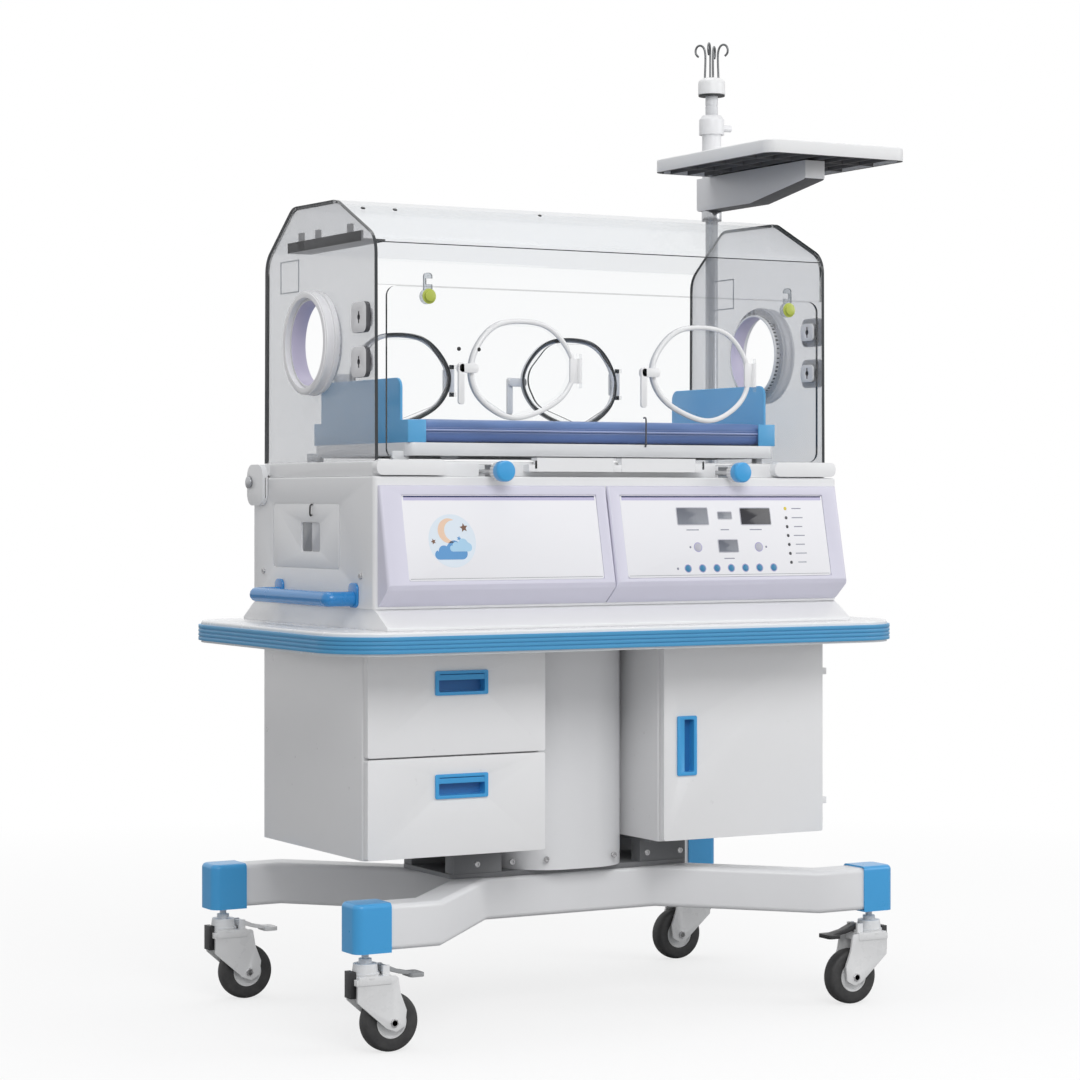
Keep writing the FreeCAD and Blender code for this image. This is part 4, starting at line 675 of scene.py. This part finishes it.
row_of("lower_key_rims", 7.6, 0.35, key_violet, 128.5, 795, 7, 30.3, steps=32)
row_of("lower_keys", 6.4, 0.95, key_teal, 128.5, 795, 7, 30.3, steps=32)
row_of("side_key_rims", 8.8, 0.35, key_violet, 154.2, 832.4, 2, 129.3, -0.4, 32)
row_of("side_keys", 7.4, 1.0, bezel_gray, 154.2, 832.4, 2, 129.3, -0.4, 32)
row_of("side_dots", 2.0, 0.6, mark_gray, 138.3, 832.6, 2, 161, -0.6)
row_of("corner_dot", 2.2, 0.6, mark_gray, 107.3, 794.9, 1, 10)
lamp_dark = coated("lamp_dark", (0.05, 0.05, 0.06), 0.2, 1500, 0.00001, 0.8)
lamp_yellow = coated("lamp_yellow", (0.75, 0.6, 0.06), 0.2, 1500, 0.00001, 0.85)
row_of("lamps", 3.0, 0.8, lamp_dark, 350, 803.7, 6, 0, 16.05)
row_of("power_lamp", 3.2, 0.8, lamp_yellow, 350, 900.6, 1, 0, 10)
MARKS = ((147, 863, 26), (215, 863, 18), (281, 863, 26), (218, 812, 22), (374, 900.6, 20), (374, 884, 24),
         (374, 868, 18), (374, 852, 24), (374, 836, 20), (374, 820, 24), (374, 804, 18))
for i, (x, z, wide) in enumerate(MARKS):
    bar = rounded(x - wide / 2, x + wide / 2, z - 0.8, z + 0.8, 0.5)
    film_piece("mark_%d" % i, bar, -1.2, -0.87, mark_gray, "control_panel")


# Push handles: thick blue rails, each bent from one tube, at both ends of the casing.
# They are coated steel, and stand on oval flanges screwed to the end walls.

rail_blue = coated("rail_blue", (0.018, 0.24, 0.6), 0.26, 1400, 0.00002, 0.85, coat=0.25)
RAIL_REACH = 520
for word, side, front, back in (("left", -1, -176, 128), ("right", 1, -96, 190)):
    bent = [(472, front), (494, front), (509, front), (RAIL_REACH, front), (RAIL_REACH, front + 12),
            (RAIL_REACH, front + 30), (RAIL_REACH, (front + back) / 2), (RAIL_REACH, back - 30),
            (RAIL_REACH, back - 12), (RAIL_REACH, back), (509, back), (494, back), (472, back)]
    rail = wire_piece(word + "_push_rail", [(side * x, y, 748) for x, y in bent], 12.9, rail_blue,
                      "push_handles", 14)
    if side < 0:
        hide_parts("push_handles")
    for y, end in ((front, "front"), (back, "back")):
        sheet_piece("%s_%s_flange" % (word, end), rounded(side * y - 17, side * y + 17, 733, 775, 11, 8),
                    here(side * CASING_END, 0, 0), (0, side, 0), (0, 0, 1), 4.4, rail_blue, "push_handles", 1.3)


# Fan and heater: a dark cast motor with a heater ring round it, inside the casing.
# A white moulded fan is pressed on the motor's shaft.

motor_black = coated("motor_black", (0.05, 0.05, 0.055), 0.5, 500, 0.0001, 0.7)
eased("fan_motor", motor_black, 0.6)
eased("fan_impeller", hub_white, 0.3, 1)


# Deck pivots: brushed steel blocks and pins, screwed down on the casing's deck.
# They carry the bed's tilt frame and the hood.

def brushed(name, colour, rough, along=(1, 1, 0.02)):
    """Metal with fine draw lines along one direction."""
    make = Finish(name)
    lines = make.noise(900, 3, 0.6, along)
    cloud = make.noise(9, 3, 0.5)
    tone = make.blend(lines, tuple(c * 0.8 for c in colour), colour)
    return make.surface(Base_Color=tone, Metallic=1.0, Roughness=rough + (cloud - 0.5) * 0.12,
                        Normal=make.bump(lines, 0.00002))


pole_steel = brushed("pole_steel", (0.5, 0.51, 0.53), 0.24)
frame_steel = brushed("frame_steel", (0.5, 0.51, 0.53), 0.34, (0.02, 1, 1))
eased("deck_pivots", frame_steel, 0.6)


# Hood rim: a white moulded frame that the clear walls stand in, with arms to its pivot pins.
# A black strip under its front is painted shadow for the gap there, and the arm covers have a slotted plate.

eased("hood_rim", housing_white, 1.6, 3)
for word, side in SIDES:
    sheet_piece(word + "_cover_slot", rounded(side * 170 - 1.3, side * 170 + 1.3, 919, 956, 1.2),
                here(side * 482.8, 0, 0), (0, side, 0), (0, 0, 1), 0.2, guard_black, "hood_rim")
# Painted shadow: a thin black strip in the gap under the rim's front, below the door straps.
sheet_piece("front_shadow_strip", rounded(-67, 212, 957.4, 963.6, 1), here(0, -233.8, 0), (1, 0, 0), (0, 0, 1), 1.4,
            guard_black, "hood_rim", 0.3)
for i, x in enumerate((-164, 178)):
    sheet_piece("hinge_mark_%d" % i, rounded(x - 2, x + 2, 970, 984, 1), here(0, -256.9, 0), (1, 0, 0),
                (0, 0, 1), 0.1, guard_black, "hood_rim")


# Hood: clear acrylic sheet, bent over the top and glued to flat end walls.
# Its cut edges are polished, and look dark where light is trapped inside the sheet.

def clear_sheet(name, tint, film, shine=0.55, pale=(0.9, 0.93, 0.95)):
    """Acrylic: mostly see-through, with a slight haze and reflections that grow at glancing angles."""
    make = Finish(name)
    smear = make.noise(7, 4, 0.6)
    fine = make.noise(60, 3, 0.5)
    clear = make.add("ShaderNodeBsdfTransparent", {}, {"Color": tint})
    shell = make.add("ShaderNodeBsdfPrincipled", {}, {
        "Base Color": make.blend(smear, tuple(c * 0.9 for c in pale), pale),
        "Roughness": 0.03 + fine * 0.05, "IOR": 1.49})
    rim = make.add("ShaderNodeLayerWeight", {}, {"Blend": 0.22}, "Fresnel")
    amount = (rim * shine + film + smear * (film * 0.8)).clamped()
    mixed = make.add("ShaderNodeMixShader", {}, {0: amount, 1: clear, 2: shell})
    return make.show(mixed)


acrylic = clear_sheet("acrylic", (0.99, 0.992, 0.993), 0.004, 0.2)
acrylic_end = clear_sheet("acrylic_end", (0.915, 0.918, 0.925), 0.06, 0.35, (0.86, 0.865, 0.88))
acrylic_edge = coated("acrylic_edge", (0.035, 0.04, 0.045), 0.12, 300, 0.00002, 0.6)
edge_gray = coated("edge_gray", (0.36, 0.39, 0.42), 0.12, 300, 0.00002, 0.8)


def edged(node, sheet, edge, deepest=9.0):
    """A clear sheet whose cut edges take an edge finish: deep material, in millimetres, lies behind them."""
    mesh = bpy.data.meshes.new(node + "_made")
    form = merged(node)
    tree = BVHTree.FromBMesh(form)
    depths = [tree.ray_cast(face.calc_center_median() - face.normal * 0.0002, -face.normal)[3]
              for face in form.faces]
    form.to_mesh(mesh)
    form.free()
    obj = piece(node + "_made", mesh, sheet, body_of_node(node), slot_of_node(node))
    mesh.materials.append(edge)
    for face, depth in zip(mesh.polygons, depths):
        face.material_index = 1 if depth is not None and depth * 1000 > deepest else 0
    mesh.shade_flat()
    return fitted(obj, node)


edged("hood_canopy", acrylic, acrylic_edge)
edged("hood_end_panels", acrylic_end, acrylic_edge)
door = edged("front_door", acrylic, acrylic_edge)
faced(door, acrylic, lambda at, n: abs(at.x) < 425 and 995 < at.z < 1270)
faced(door, housing_white, lambda at, n: at.z < 988.9 and abs(at.x) < 170)
wire_piece("roof_bend_line", [(x, -227.4, 1352) for x in (-452, 0, 452)], 0.9, acrylic_edge, "hood_canopy")
eased("sensor_bracket", guard_black, 0.5)
STUDS = ((-424, -110.1, 1419.6, 5), (-362, -109.4, 1419.9, 5), (-68, -99.9, 1424.6, 4))
for i, (x, y, z, tall) in enumerate(STUDS):
    stud = [(0, 1.6), (tall * 0.6, 1.5), (tall * 0.8, 1.0), (tall * 0.8, -0.8), (0, -0.8)]
    lathed("roof_stud_%d" % i, stud, here(x, y, z), (0, -0.435, 0.9), 20, guard_black,
           body_of_node("hood_canopy"), "gray_rubber")
FILTER_LINES = (("top", 75, 153, 1341, 1343), ("foot", 75, 153, 1285, 1287), ("back", 151, 153, 1286, 1342),
                ("fore", 75, 77, 1286, 1342))
for word, side in SIDES:
    for name, u0, u1, v0, v1 in FILTER_LINES:
        u0, u1 = sorted((side * u0, side * u1))
        sheet_piece("%s_filter_%s" % (word, name), rounded(u0, u1, v0, v1, 0.8), here(side * 459.9, 0, 0),
                    (0, side, 0), (0, 0, 1), 1.1, edge_gray, "hood_end_panels")


# Port doors: clear oval plates with a thick white moulded bead, each on a pin with a hanging lever.
# The lever's block and the pin's barrel are the same white plastic, screwed through the plate.

PORT_CORNERS = ((-62, 87), (56, 87), (118, 12), (86, -52), (-24, -94), (-107, -44), (-114, 18))
PORT_LEVEL = 1140.9
PORT_X = 182
HALF_WIDE, HALF_TALL = 106, 88
bead_white = coated("bead_white", (0.84, 0.845, 0.855), 0.24, 1400, 0.00002, 0.94, coat=0.2)
leaf_edge = coated("leaf_edge", (0.6, 0.62, 0.65), 0.15, 300, 0.00002, 0.85)


def port_outline(count=96, rounds=44):
    """The egg-shaped outline of a port door about its middle, its corners rounded off by averaging."""
    corners = [Vector((u, v)) for u, v in PORT_CORNERS]
    runs = list(zip(corners, corners[1:] + corners[:1]))
    total = sum((end - start).length for start, end in runs)
    points = []
    for start, end in runs:
        steps = max(2, round(count * (end - start).length / total))
        points += [start.lerp(end, i / steps) for i in range(steps)]
    for _ in range(rounds):
        points = [(points[i - 1] + points[i] * 2 + points[(i + 1) % len(points)]) / 4
                  for i in range(len(points))]
    low = Vector((min(p.x for p in points), min(p.y for p in points)))
    high = Vector((max(p.x for p in points), max(p.y for p in points)))
    return [Vector((-HALF_WIDE + 2 * HALF_WIDE * (p.x - low.x) / (high.x - low.x),
                    -HALF_TALL + 2 * HALF_TALL * (p.y - low.y) / (high.y - low.y))) for p in points]


def shrunk(points, inset):
    return [(p.x * (1 - inset / HALF_WIDE), p.y * (1 - inset / HALF_TALL)) for p in points]


EGG = port_outline()
BARREL = [(2.05, -21.4), (4.6, -21.4), (5, -21), (5, 21), (4.6, 21.4), (2.05, 21.4)]
FITTINGS = (("strap", 92, 111, -21.4, 21.4, 2.5, 6.4, 10.8, 0.6), ("lever", -130, -92, -8, 8, 6, 6.4, 18, 1.0),
            ("arm", -131, -119, -62, 9, 5, 12, 18, 1.2))
for word, toward, side in (("front_left", -1, -1), ("front_right", -1, 1),
                           ("back_left", 1, -1), ("back_right", 1, 1)):
    node = word + "_port_door"
    body, slot = body_of_node(node), slot_of_node(node)
    wall = -236 if toward < 0 else 225
    x0 = side * PORT_X
    right = (-toward, 0, 0)
    outline = [(u * side * toward, v) for u, v in shrunk(EGG, 0.4)]
    plate = flat_mesh(node, outline, here(x0, wall + toward * 0.4, PORT_LEVEL), right, (0, 0, 1), 6.0)
    leaf = piece(node + "_leaf", plate, acrylic, body, slot)
    faced(leaf, leaf_edge, lambda at, n: abs(n.y) < 0.5)
    fitted(settle(leaf, 30), node)
    course = [here(x0 - side * u, wall + toward * 6.55, PORT_LEVEL + v) for u, v in shrunk(EGG, 4.9)]
    bead = tube_mesh(node + "_bead", course, 4.4, 6, closed=True)
    fitted(settle(piece(node + "_bead", bead, bead_white, body, slot), 60))
    for part, u0, u1, v0, v1, corner, low, high, edge in FITTINGS:
        u0, u1 = sorted((u0 * -toward, u1 * -toward))
        sheet_piece("%s_%s" % (node, part), rounded(u0, u1, v0, v1, corner),
                    here(x0, wall + toward * low, PORT_LEVEL), right, (0, 0, 1), high - low, bead_white,
                    node, edge)
    lathed(node + "_barrel", BARREL, here(x0 + 111, wall + toward * 9, PORT_LEVEL), (0, 0, 1), 28, bead_white,
           body, slot)
LEVER_SPOT = [(0, 1.2), (3.0, 1.0), (3.6, 0), (3.6, -1.0), (0, -1.0)]
for i, x in enumerate((-308.7, -270.1)):
    lathed("lever_spot_%d" % i, LEVER_SPOT, here(x, -246.6, 1173.5), (0, -1, 0), 18, guard_black,
           body_of_node("front_left_port_door"), "gray_rubber")


# Tube grommets and iris ports: soft gray slotted plugs, and white rings turning on short sleeves.
# The sleeves are lined with a lavender-gray cuff, and each ring has stepped, softly rounded rims.

soft_gray = coated("soft_gray", (0.8, 0.8, 0.82), 0.5, 900, 0.00005, 0.9)
soft_dark = coated("soft_dark", (0.09, 0.09, 0.1), 0.5, 900, 0.00005, 0.8)
plugs = eased("tube_grommets", soft_gray, 0.8)
faced(plugs, soft_dark, lambda at, n: abs(at.x) < 468.9 and abs(n.x) < 0.5 and abs(at.x) > 459)
iris_white = coated("iris_white", (0.83, 0.83, 0.85), 0.35, 900, 0.00003, 0.92)
lavender = coated("lavender", (0.6, 0.56, 0.72), 0.4, 900, 0.00003, 0.88)
sleeve = eased("iris_sleeves", iris_white, 0.6)
faced(sleeve, lavender, lambda at, n: math.hypot(at.y + 5, at.z - 1189.9) < 76 and abs(n.x) < 0.5)
round_a_ring = Pattern("copies_round_a_ring", Count="Int", Radius="Float", Middle="Vector", Turn="Vector")
circle = round_a_ring.node("GeometryNodeMeshCircle", {}, {"Vertices": "Count", "Radius": "Radius"})
number = round_a_ring.node("GeometryNodeInputIndex", {}, {})
whole = round_a_ring.node("ShaderNodeMath", {"operation": "DIVIDE"}, {0: math.tau, 1: "Count"})
angle = round_a_ring.node("ShaderNodeMath", {"operation": "MULTIPLY"}, {0: number, 1: whole})
facing = round_a_ring.node("ShaderNodeCombineXYZ", {}, {"Z": angle})
copies = round_a_ring.node("GeometryNodeInstanceOnPoints", {},
                           {"Points": circle, "Instance": "Form", "Rotation": facing})
round_a_ring.finish(round_a_ring.node("GeometryNodeTransform", {},
                                      {"Geometry": copies, "Translation": "Middle", "Rotation": "Turn"}))
for node in ("left_iris_ring", "right_iris_ring"):
    eased(node, iris_white, 1.2, 3)


# Latches: a clear boss and a hooked clear arm that turn together on the front door.
# A yellow-green button caps each of them.

latch_green = coated("latch_green", (0.5, 0.58, 0.1), 0.25, 900, 0.00003, 0.8)
latch_clear = clear_sheet("latch_clear", (0.8, 0.82, 0.84), 0.12, pale=(0.7, 0.72, 0.74))
for node in ("left_door_latch", "right_door_latch"):
    latch = eased(node, latch_clear, 0.8)
    faced(latch, latch_green, lambda at, n: at.y < -249.9)
    faced(latch, edge_gray, lambda at, n: at.y > -246.4 and abs(n.y) < 0.35 and at.z > 1275)


# Bed: a steel tilt frame, a white tray on it and two blue end baffles.
# The tray hangs dark brackets under the bed, and the baffles are bright moulded sheets with feet.

eased("tilt_frame", frame_steel, 0.8)
eased("mattress_tray", bead_white, 0.8)
for i, (x0, x1, z0) in enumerate(((60, 278, 990), (-296, -262, 986))):
    sheet_piece("bed_bracket_%d" % i, rounded(x0, x1, z0, 1008, 5), here(0, -150, 0), (1, 0, 0), (0, 0, 1), 3.0,
                motor_black if i == 0 else soft_gray, "mattress_tray", 0.6)
baffle_blue = coated("baffle_blue", (0.1, 0.42, 0.76), 0.3, 1400, 0.00002, 0.92, coat=0.1)
eased("end_baffles", baffle_blue, 1.4, 3)
for node in ("left_tilt_knob", "right_tilt_knob"):
    knob = eased(node, bead_white, 0.7)
    faced(knob, blue_moulding, lambda at, n: at.y < -276.3)
    side = -1 if node.startswith("left") else 1
    rib = flat_mesh("knob_rib", rounded(-1.2, 1.2, -8.2, 8.2, 0.8, 2), Vector((-0.0005, 0, 0)), (0, 1, 0),
                    (0, 0, 1), 1.6)
    round_a_ring.lay(node + "_ribs", rib, bead_white, body_of_node(node), "blue_plastic", Count=18,
                     Radius=0.0152, Middle=tuple(here(side * 241, -268, 965)), Turn=(math.pi / 2, 0, 0))
CLIP = ((-191.2, 1012), (-193.6, 1010), (-194.2, 1030), (-194.2, 1056), (-193.6, 1062), (-190, 1063.5),
        (-186, 1062.5))
wire_piece("front_clip", [(97, y, z) for y, z in CLIP], 1.5, soft_dark, "mattress_tray")


# Mattress: a foam slab in a wipe-clean cover, its upper and lower panels joined by a piped seam.
# The cover swells a little over the foam, so its faces crown and its sides pull in at the corners.

def cover_finish():
    """A coated knit: a fine weave under a satin skin, darker low down, with slow soft wrinkles."""
    make = Finish("mattress_cover")
    where = make.place()
    weft, warp = [make.add("ShaderNodeTexWave", {"wave_type": "BANDS", "bands_direction": way},
                           {"Vector": where, "Scale": 260.0, "Distortion": 0.6, "Detail": 1.0})
                  for way in ("X", "Y")]
    weave = weft * warp
    cloud = make.noise(6, 4, 0.6)
    wrinkle = make.noise(22, 2, 0.5, (0.5, 1, 1))
    height = ((make.along("Z") - 1.016) * 24).clamped()
    tone = make.blend(height, (0.085, 0.16, 0.4), (0.13, 0.23, 0.46))
    tone = make.blend(cloud * 0.35, tone, (0.12, 0.19, 0.44))
    return make.surface(Base_Color=tone, Roughness=0.42 + cloud * 0.12,
                        Normal=make.bump(weave * 0.06 + wrinkle, 0.0012))


mattress_cover = cover_finish()
piping_blue = coated("piping_blue", (0.34, 0.41, 0.66), 0.4, 1200, 0.00006, 0.88)


CLOTH_FRAMES = 20
SEAM_LEVEL = 1036.5


def swollen(obj, voxel, pressure, reach):
    """Blow a closed cover up a little with a cloth run, holding each point within its reach."""
    remesh = obj.modifiers.new("skin", "REMESH")
    remesh.mode = "VOXEL"
    remesh.voxel_size = voxel
    settle(obj)
    rest = [vert.co.copy() for vert in obj.data.vertices]
    cloth = obj.modifiers.new("cover", "CLOTH")
    cloth.settings.use_pressure = True
    cloth.settings.uniform_pressure_force = pressure
    cloth.settings.effector_weights.gravity = 0
    cloth.point_cache.frame_start = 1
    cloth.point_cache.frame_end = CLOTH_FRAMES
    for frame_number in range(1, CLOTH_FRAMES + 1):
        bpy.context.scene.frame_set(frame_number)
    settle(obj)
    bpy.context.scene.frame_set(1)
    for vert, start in zip(obj.data.vertices, rest):
        shift = vert.co - start
        if shift.length > reach:
            vert.co = start + shift * (reach / shift.length)
    return obj


slab = piece("mattress_cover", flat_mesh("mattress_cover", rounded(-367.5, 367.5, -180.5, 180.5, 20, 8),
                                         here(0, 0, 1017.5), (1, 0, 0), (0, 1, 0), 36.5),
             mattress_cover, body_of_node("mattress"), "mattress_cover")
ease_edges(slab, 9, 4, 50)
settle(slab)
swollen(slab, 0.006, 4.0, 0.0022)
fine = slab.modifiers.new("fine", "SUBSURF")
fine.levels = fine.render_levels = 1
settle(slab, 80)
for vert in slab.data.vertices:
    x, y, z = in_mm(vert.co)
    pinch = math.exp(-((z - SEAM_LEVEL) / 3.2) ** 2)
    inward = 1 - pinch * 1.6 / max(abs(x) / 2, 180, abs(y))
    z = min(max(z, 1015.2), 1057.8)
    vert.co = here(min(max(x * inward, -371.4), 371.4), min(max(y * inward, -184.6), 184.6), z)
fitted(slab, "mattress")

course = [here(x, y, SEAM_LEVEL) for x, y in rounded(-368.4, 368.4, -181.6, 181.6, 21, 10)]
piping = tube_mesh("mattress_piping", course, 1.9, 3, closed=True)
fitted(settle(piece("mattress_piping", piping, piping_blue, body_of_node("mattress"), "mattress_cover"), 60))
stitch = flat_mesh("cover_stitch", rounded(-1.7, 1.7, -0.45, 0.45, 0.4, 2), Vector(), (1, 0, 0), (0, 0, 1), 0.5)
for side, y in (("front", -183.2), ("back", 183.2)):
    for level, z in (("upper", SEAM_LEVEL + 4.1), ("lower", SEAM_LEVEL - 4.1)):
        in_a_line.lay("%s_%s_stitches" % (side, level), stitch.copy(), piping_blue, body_of_node("mattress"),
                      "mattress_cover", Count=139, Start=tuple(here(-345, y, z)), Step=(0.005, 0, 0))


# Pole and tray: a brushed steel pole clamped to the casing, a cast arm with painted shade on its underside,
# and a moulded tray with a ribbed underside, painted dark for the shade under it.

eased("pole", pole_steel, 0.6)
# Painted shade: a near-black finish laid on the undersides of the arm and the tray, where shade falls.
underside_shade = coated("underside_shade", (0.1, 0.1, 0.105), 0.5, 700, 0.00006, 0.8)
arm = eased("tray_arm", sprayed_white, 1.2, 3)
# The arm's downward faces take the painted shade.
faced(arm, underside_shade, lambda at, n: n.z < -0.6 and at.z < 1530)
tray_white = coated("tray_white", (0.84, 0.845, 0.85), 0.35, 900, 0.00004, 0.93)
tray = eased("monitor_tray", tray_white, 0.8)
# The tray's downward faces and its whole ribbed underside take the painted shade.
faced(tray, underside_shade, lambda at, n: at.z < 1565.5 and
      (n.z < -0.6 or (375 < at.x < 673 and -179 < at.y < 214)))


# Hook rod: a steel rod that slides in the pole, under a white cap with a dark gasket.
# Four hooks of bent wire are set in the cap.

ROD_X, ROD_Y = 520, 246
sleeve_white = coated("sleeve_white", (0.72, 0.73, 0.75), 0.3, 900, 0.00003, 0.92)
ROD = [(0, 1532.2), (7.2, 1532.2), (8, 1533), (8, 1690), (0, 1690)]
SLEEVE = [(8.1, 1681.6), (12.2, 1681.6), (12.5, 1682.4), (12.5, 1699), (11.8, 1699.6), (11.8, 1701.4),
          (12.5, 1702), (12.5, 1720.4), (8.1, 1720.4)]
GASKET = [(0, 1719.6), (25.6, 1719.6), (26.4, 1720.4), (26.4, 1722.6), (0, 1722.6)]
CAP = [(0, 1722.7), (26, 1722.7), (27, 1723.8), (27, 1745), (26.2, 1749), (23.6, 1752.6), (18.5, 1755.4),
       (12, 1756.2), (0, 1756.2)]
for word, profile, steps, finish, nodes in (
        ("core", ROD, 40, pole_steel, ["iv_hook_rod"]), ("sleeve", SLEEVE, 48, sleeve_white, []),
        ("gasket", GASKET, 56, guard_black, []), ("cap", CAP, 56, tray_white, [])):
    lathed("hook_rod_" + word, profile, here(ROD_X, ROD_Y, 0), (0, 0, 1), steps, finish,
           body_of_node("iv_hook_rod"), "chrome", *nodes)
wire_gray = brushed("wire_gray", (0.16, 0.165, 0.17), 0.3)
BEND = ((14, 1752), (13.2, 1772), (12.6, 1792), (12.8, 1806), (15.5, 1817.5), (22.5, 1823.2), (30, 1820.5),
        (33.4, 1811.5), (31.4, 1803), (26.5, 1799.5))
for i in range(4):
    turn = math.radians(45 + 90 * i)
    wire_piece("wire_hook_%d" % i,
               [(ROD_X + r * math.cos(turn), ROD_Y + r * math.sin(turn), z) for r, z in BEND], 2.1, wire_gray,
               "iv_hook_rod", 10)


# Studio: a pale floor, a white surround and broad soft lamps.
# The camera stands at the photograph's place, and looks level along its own direction.

floor_mesh = bpy.data.meshes.new("floor")
floor_form = bmesh.new()
bmesh.ops.create_grid(floor_form, x_segments=1, y_segments=1, size=30)
floor_form.to_mesh(floor_mesh)
floor_form.free()
floor = bpy.data.objects.new("floor", floor_mesh)
bpy.context.scene.collection.objects.link(floor)
pale = Finish("pale_floor")
seen = pale.add("ShaderNodeLightPath", {}, {}, "Is Camera Ray")
distance = pale.add("ShaderNodeVectorMath", {"operation": "LENGTH"}, {0: pale.place()}, 1)
far = ((distance - 0.9) * 0.45).clamped()
matt = pale.add("ShaderNodeBsdfDiffuse", {}, {"Color": pale.blend(seen, (0.5, 0.5, 0.5), (0.96, 0.96, 0.96))})
glow = pale.add("ShaderNodeEmission", {}, {"Color": (1.0, 1.0, 1.0), "Strength": 1.0})
both = pale.add("ShaderNodeMixShader", {}, {0: seen * (0.72 + far * 0.28), 1: matt, 2: glow})
floor_mesh.materials.append(pale.show(both))

surround = Finish("surround", world=True)
bpy.context.scene.world = surround.material
sky = surround.add("ShaderNodeBackground", {}, {"Color": (0.97, 0.97, 0.98), "Strength": 0.55})
white = surround.add("ShaderNodeBackground", {}, {"Color": (1, 1, 1), "Strength": 1.0})
seen, through, mirrored = [surround.add("ShaderNodeLightPath", {}, {}, "Is %s Ray" % kind)
                           for kind in ("Camera", "Transmission", "Glossy")]
shown = seen.either(through).either(mirrored)
surround.show(surround.add("ShaderNodeMixShader", {}, {0: shown, 1: sky, 2: white}))


def softbox(name, place, aim, size, power):
    lamp = bpy.data.lights.new(name, "AREA")
    lamp.shape = "RECTANGLE"
    lamp.size, lamp.size_y = size
    lamp.energy = power
    obj = bpy.data.objects.new(name, lamp)
    bpy.context.scene.collection.objects.link(obj)
    obj.location = place
    obj.rotation_mode = "QUATERNION"
    obj.rotation_quaternion = (Vector(aim) - Vector(place)).to_track_quat("-Z", "Y")


AIM = (0, 0, 0.9)
softbox("key", (-1.2, -4.2, 3.6), AIM, (2.6, 2.2), 95)
softbox("fill", (3.6, -2.6, 2.2), AIM, (2.4, 2.4), 40)
softbox("top", (0, 0.6, 4.4), AIM, (3.2, 2.4), 45)

camera_data = bpy.data.cameras.new("camera")
camera_data.sensor_width = 36
camera_data.lens = 96.5
camera_data.shift_y = -0.0371
camera_data.clip_end = 60
camera = bpy.data.objects.new("camera", camera_data)
bpy.context.scene.collection.objects.link(camera)
camera.location = here(-2611.2, -4611.5, 916.0)
camera.rotation_mode = "QUATERNION"
camera.rotation_quaternion = Vector((0.4911, 0.8711, 0)).to_track_quat("-Z", "Y")
bpy.context.scene.camera = camera

bpy.context.scene.view_settings.view_transform = "Standard"
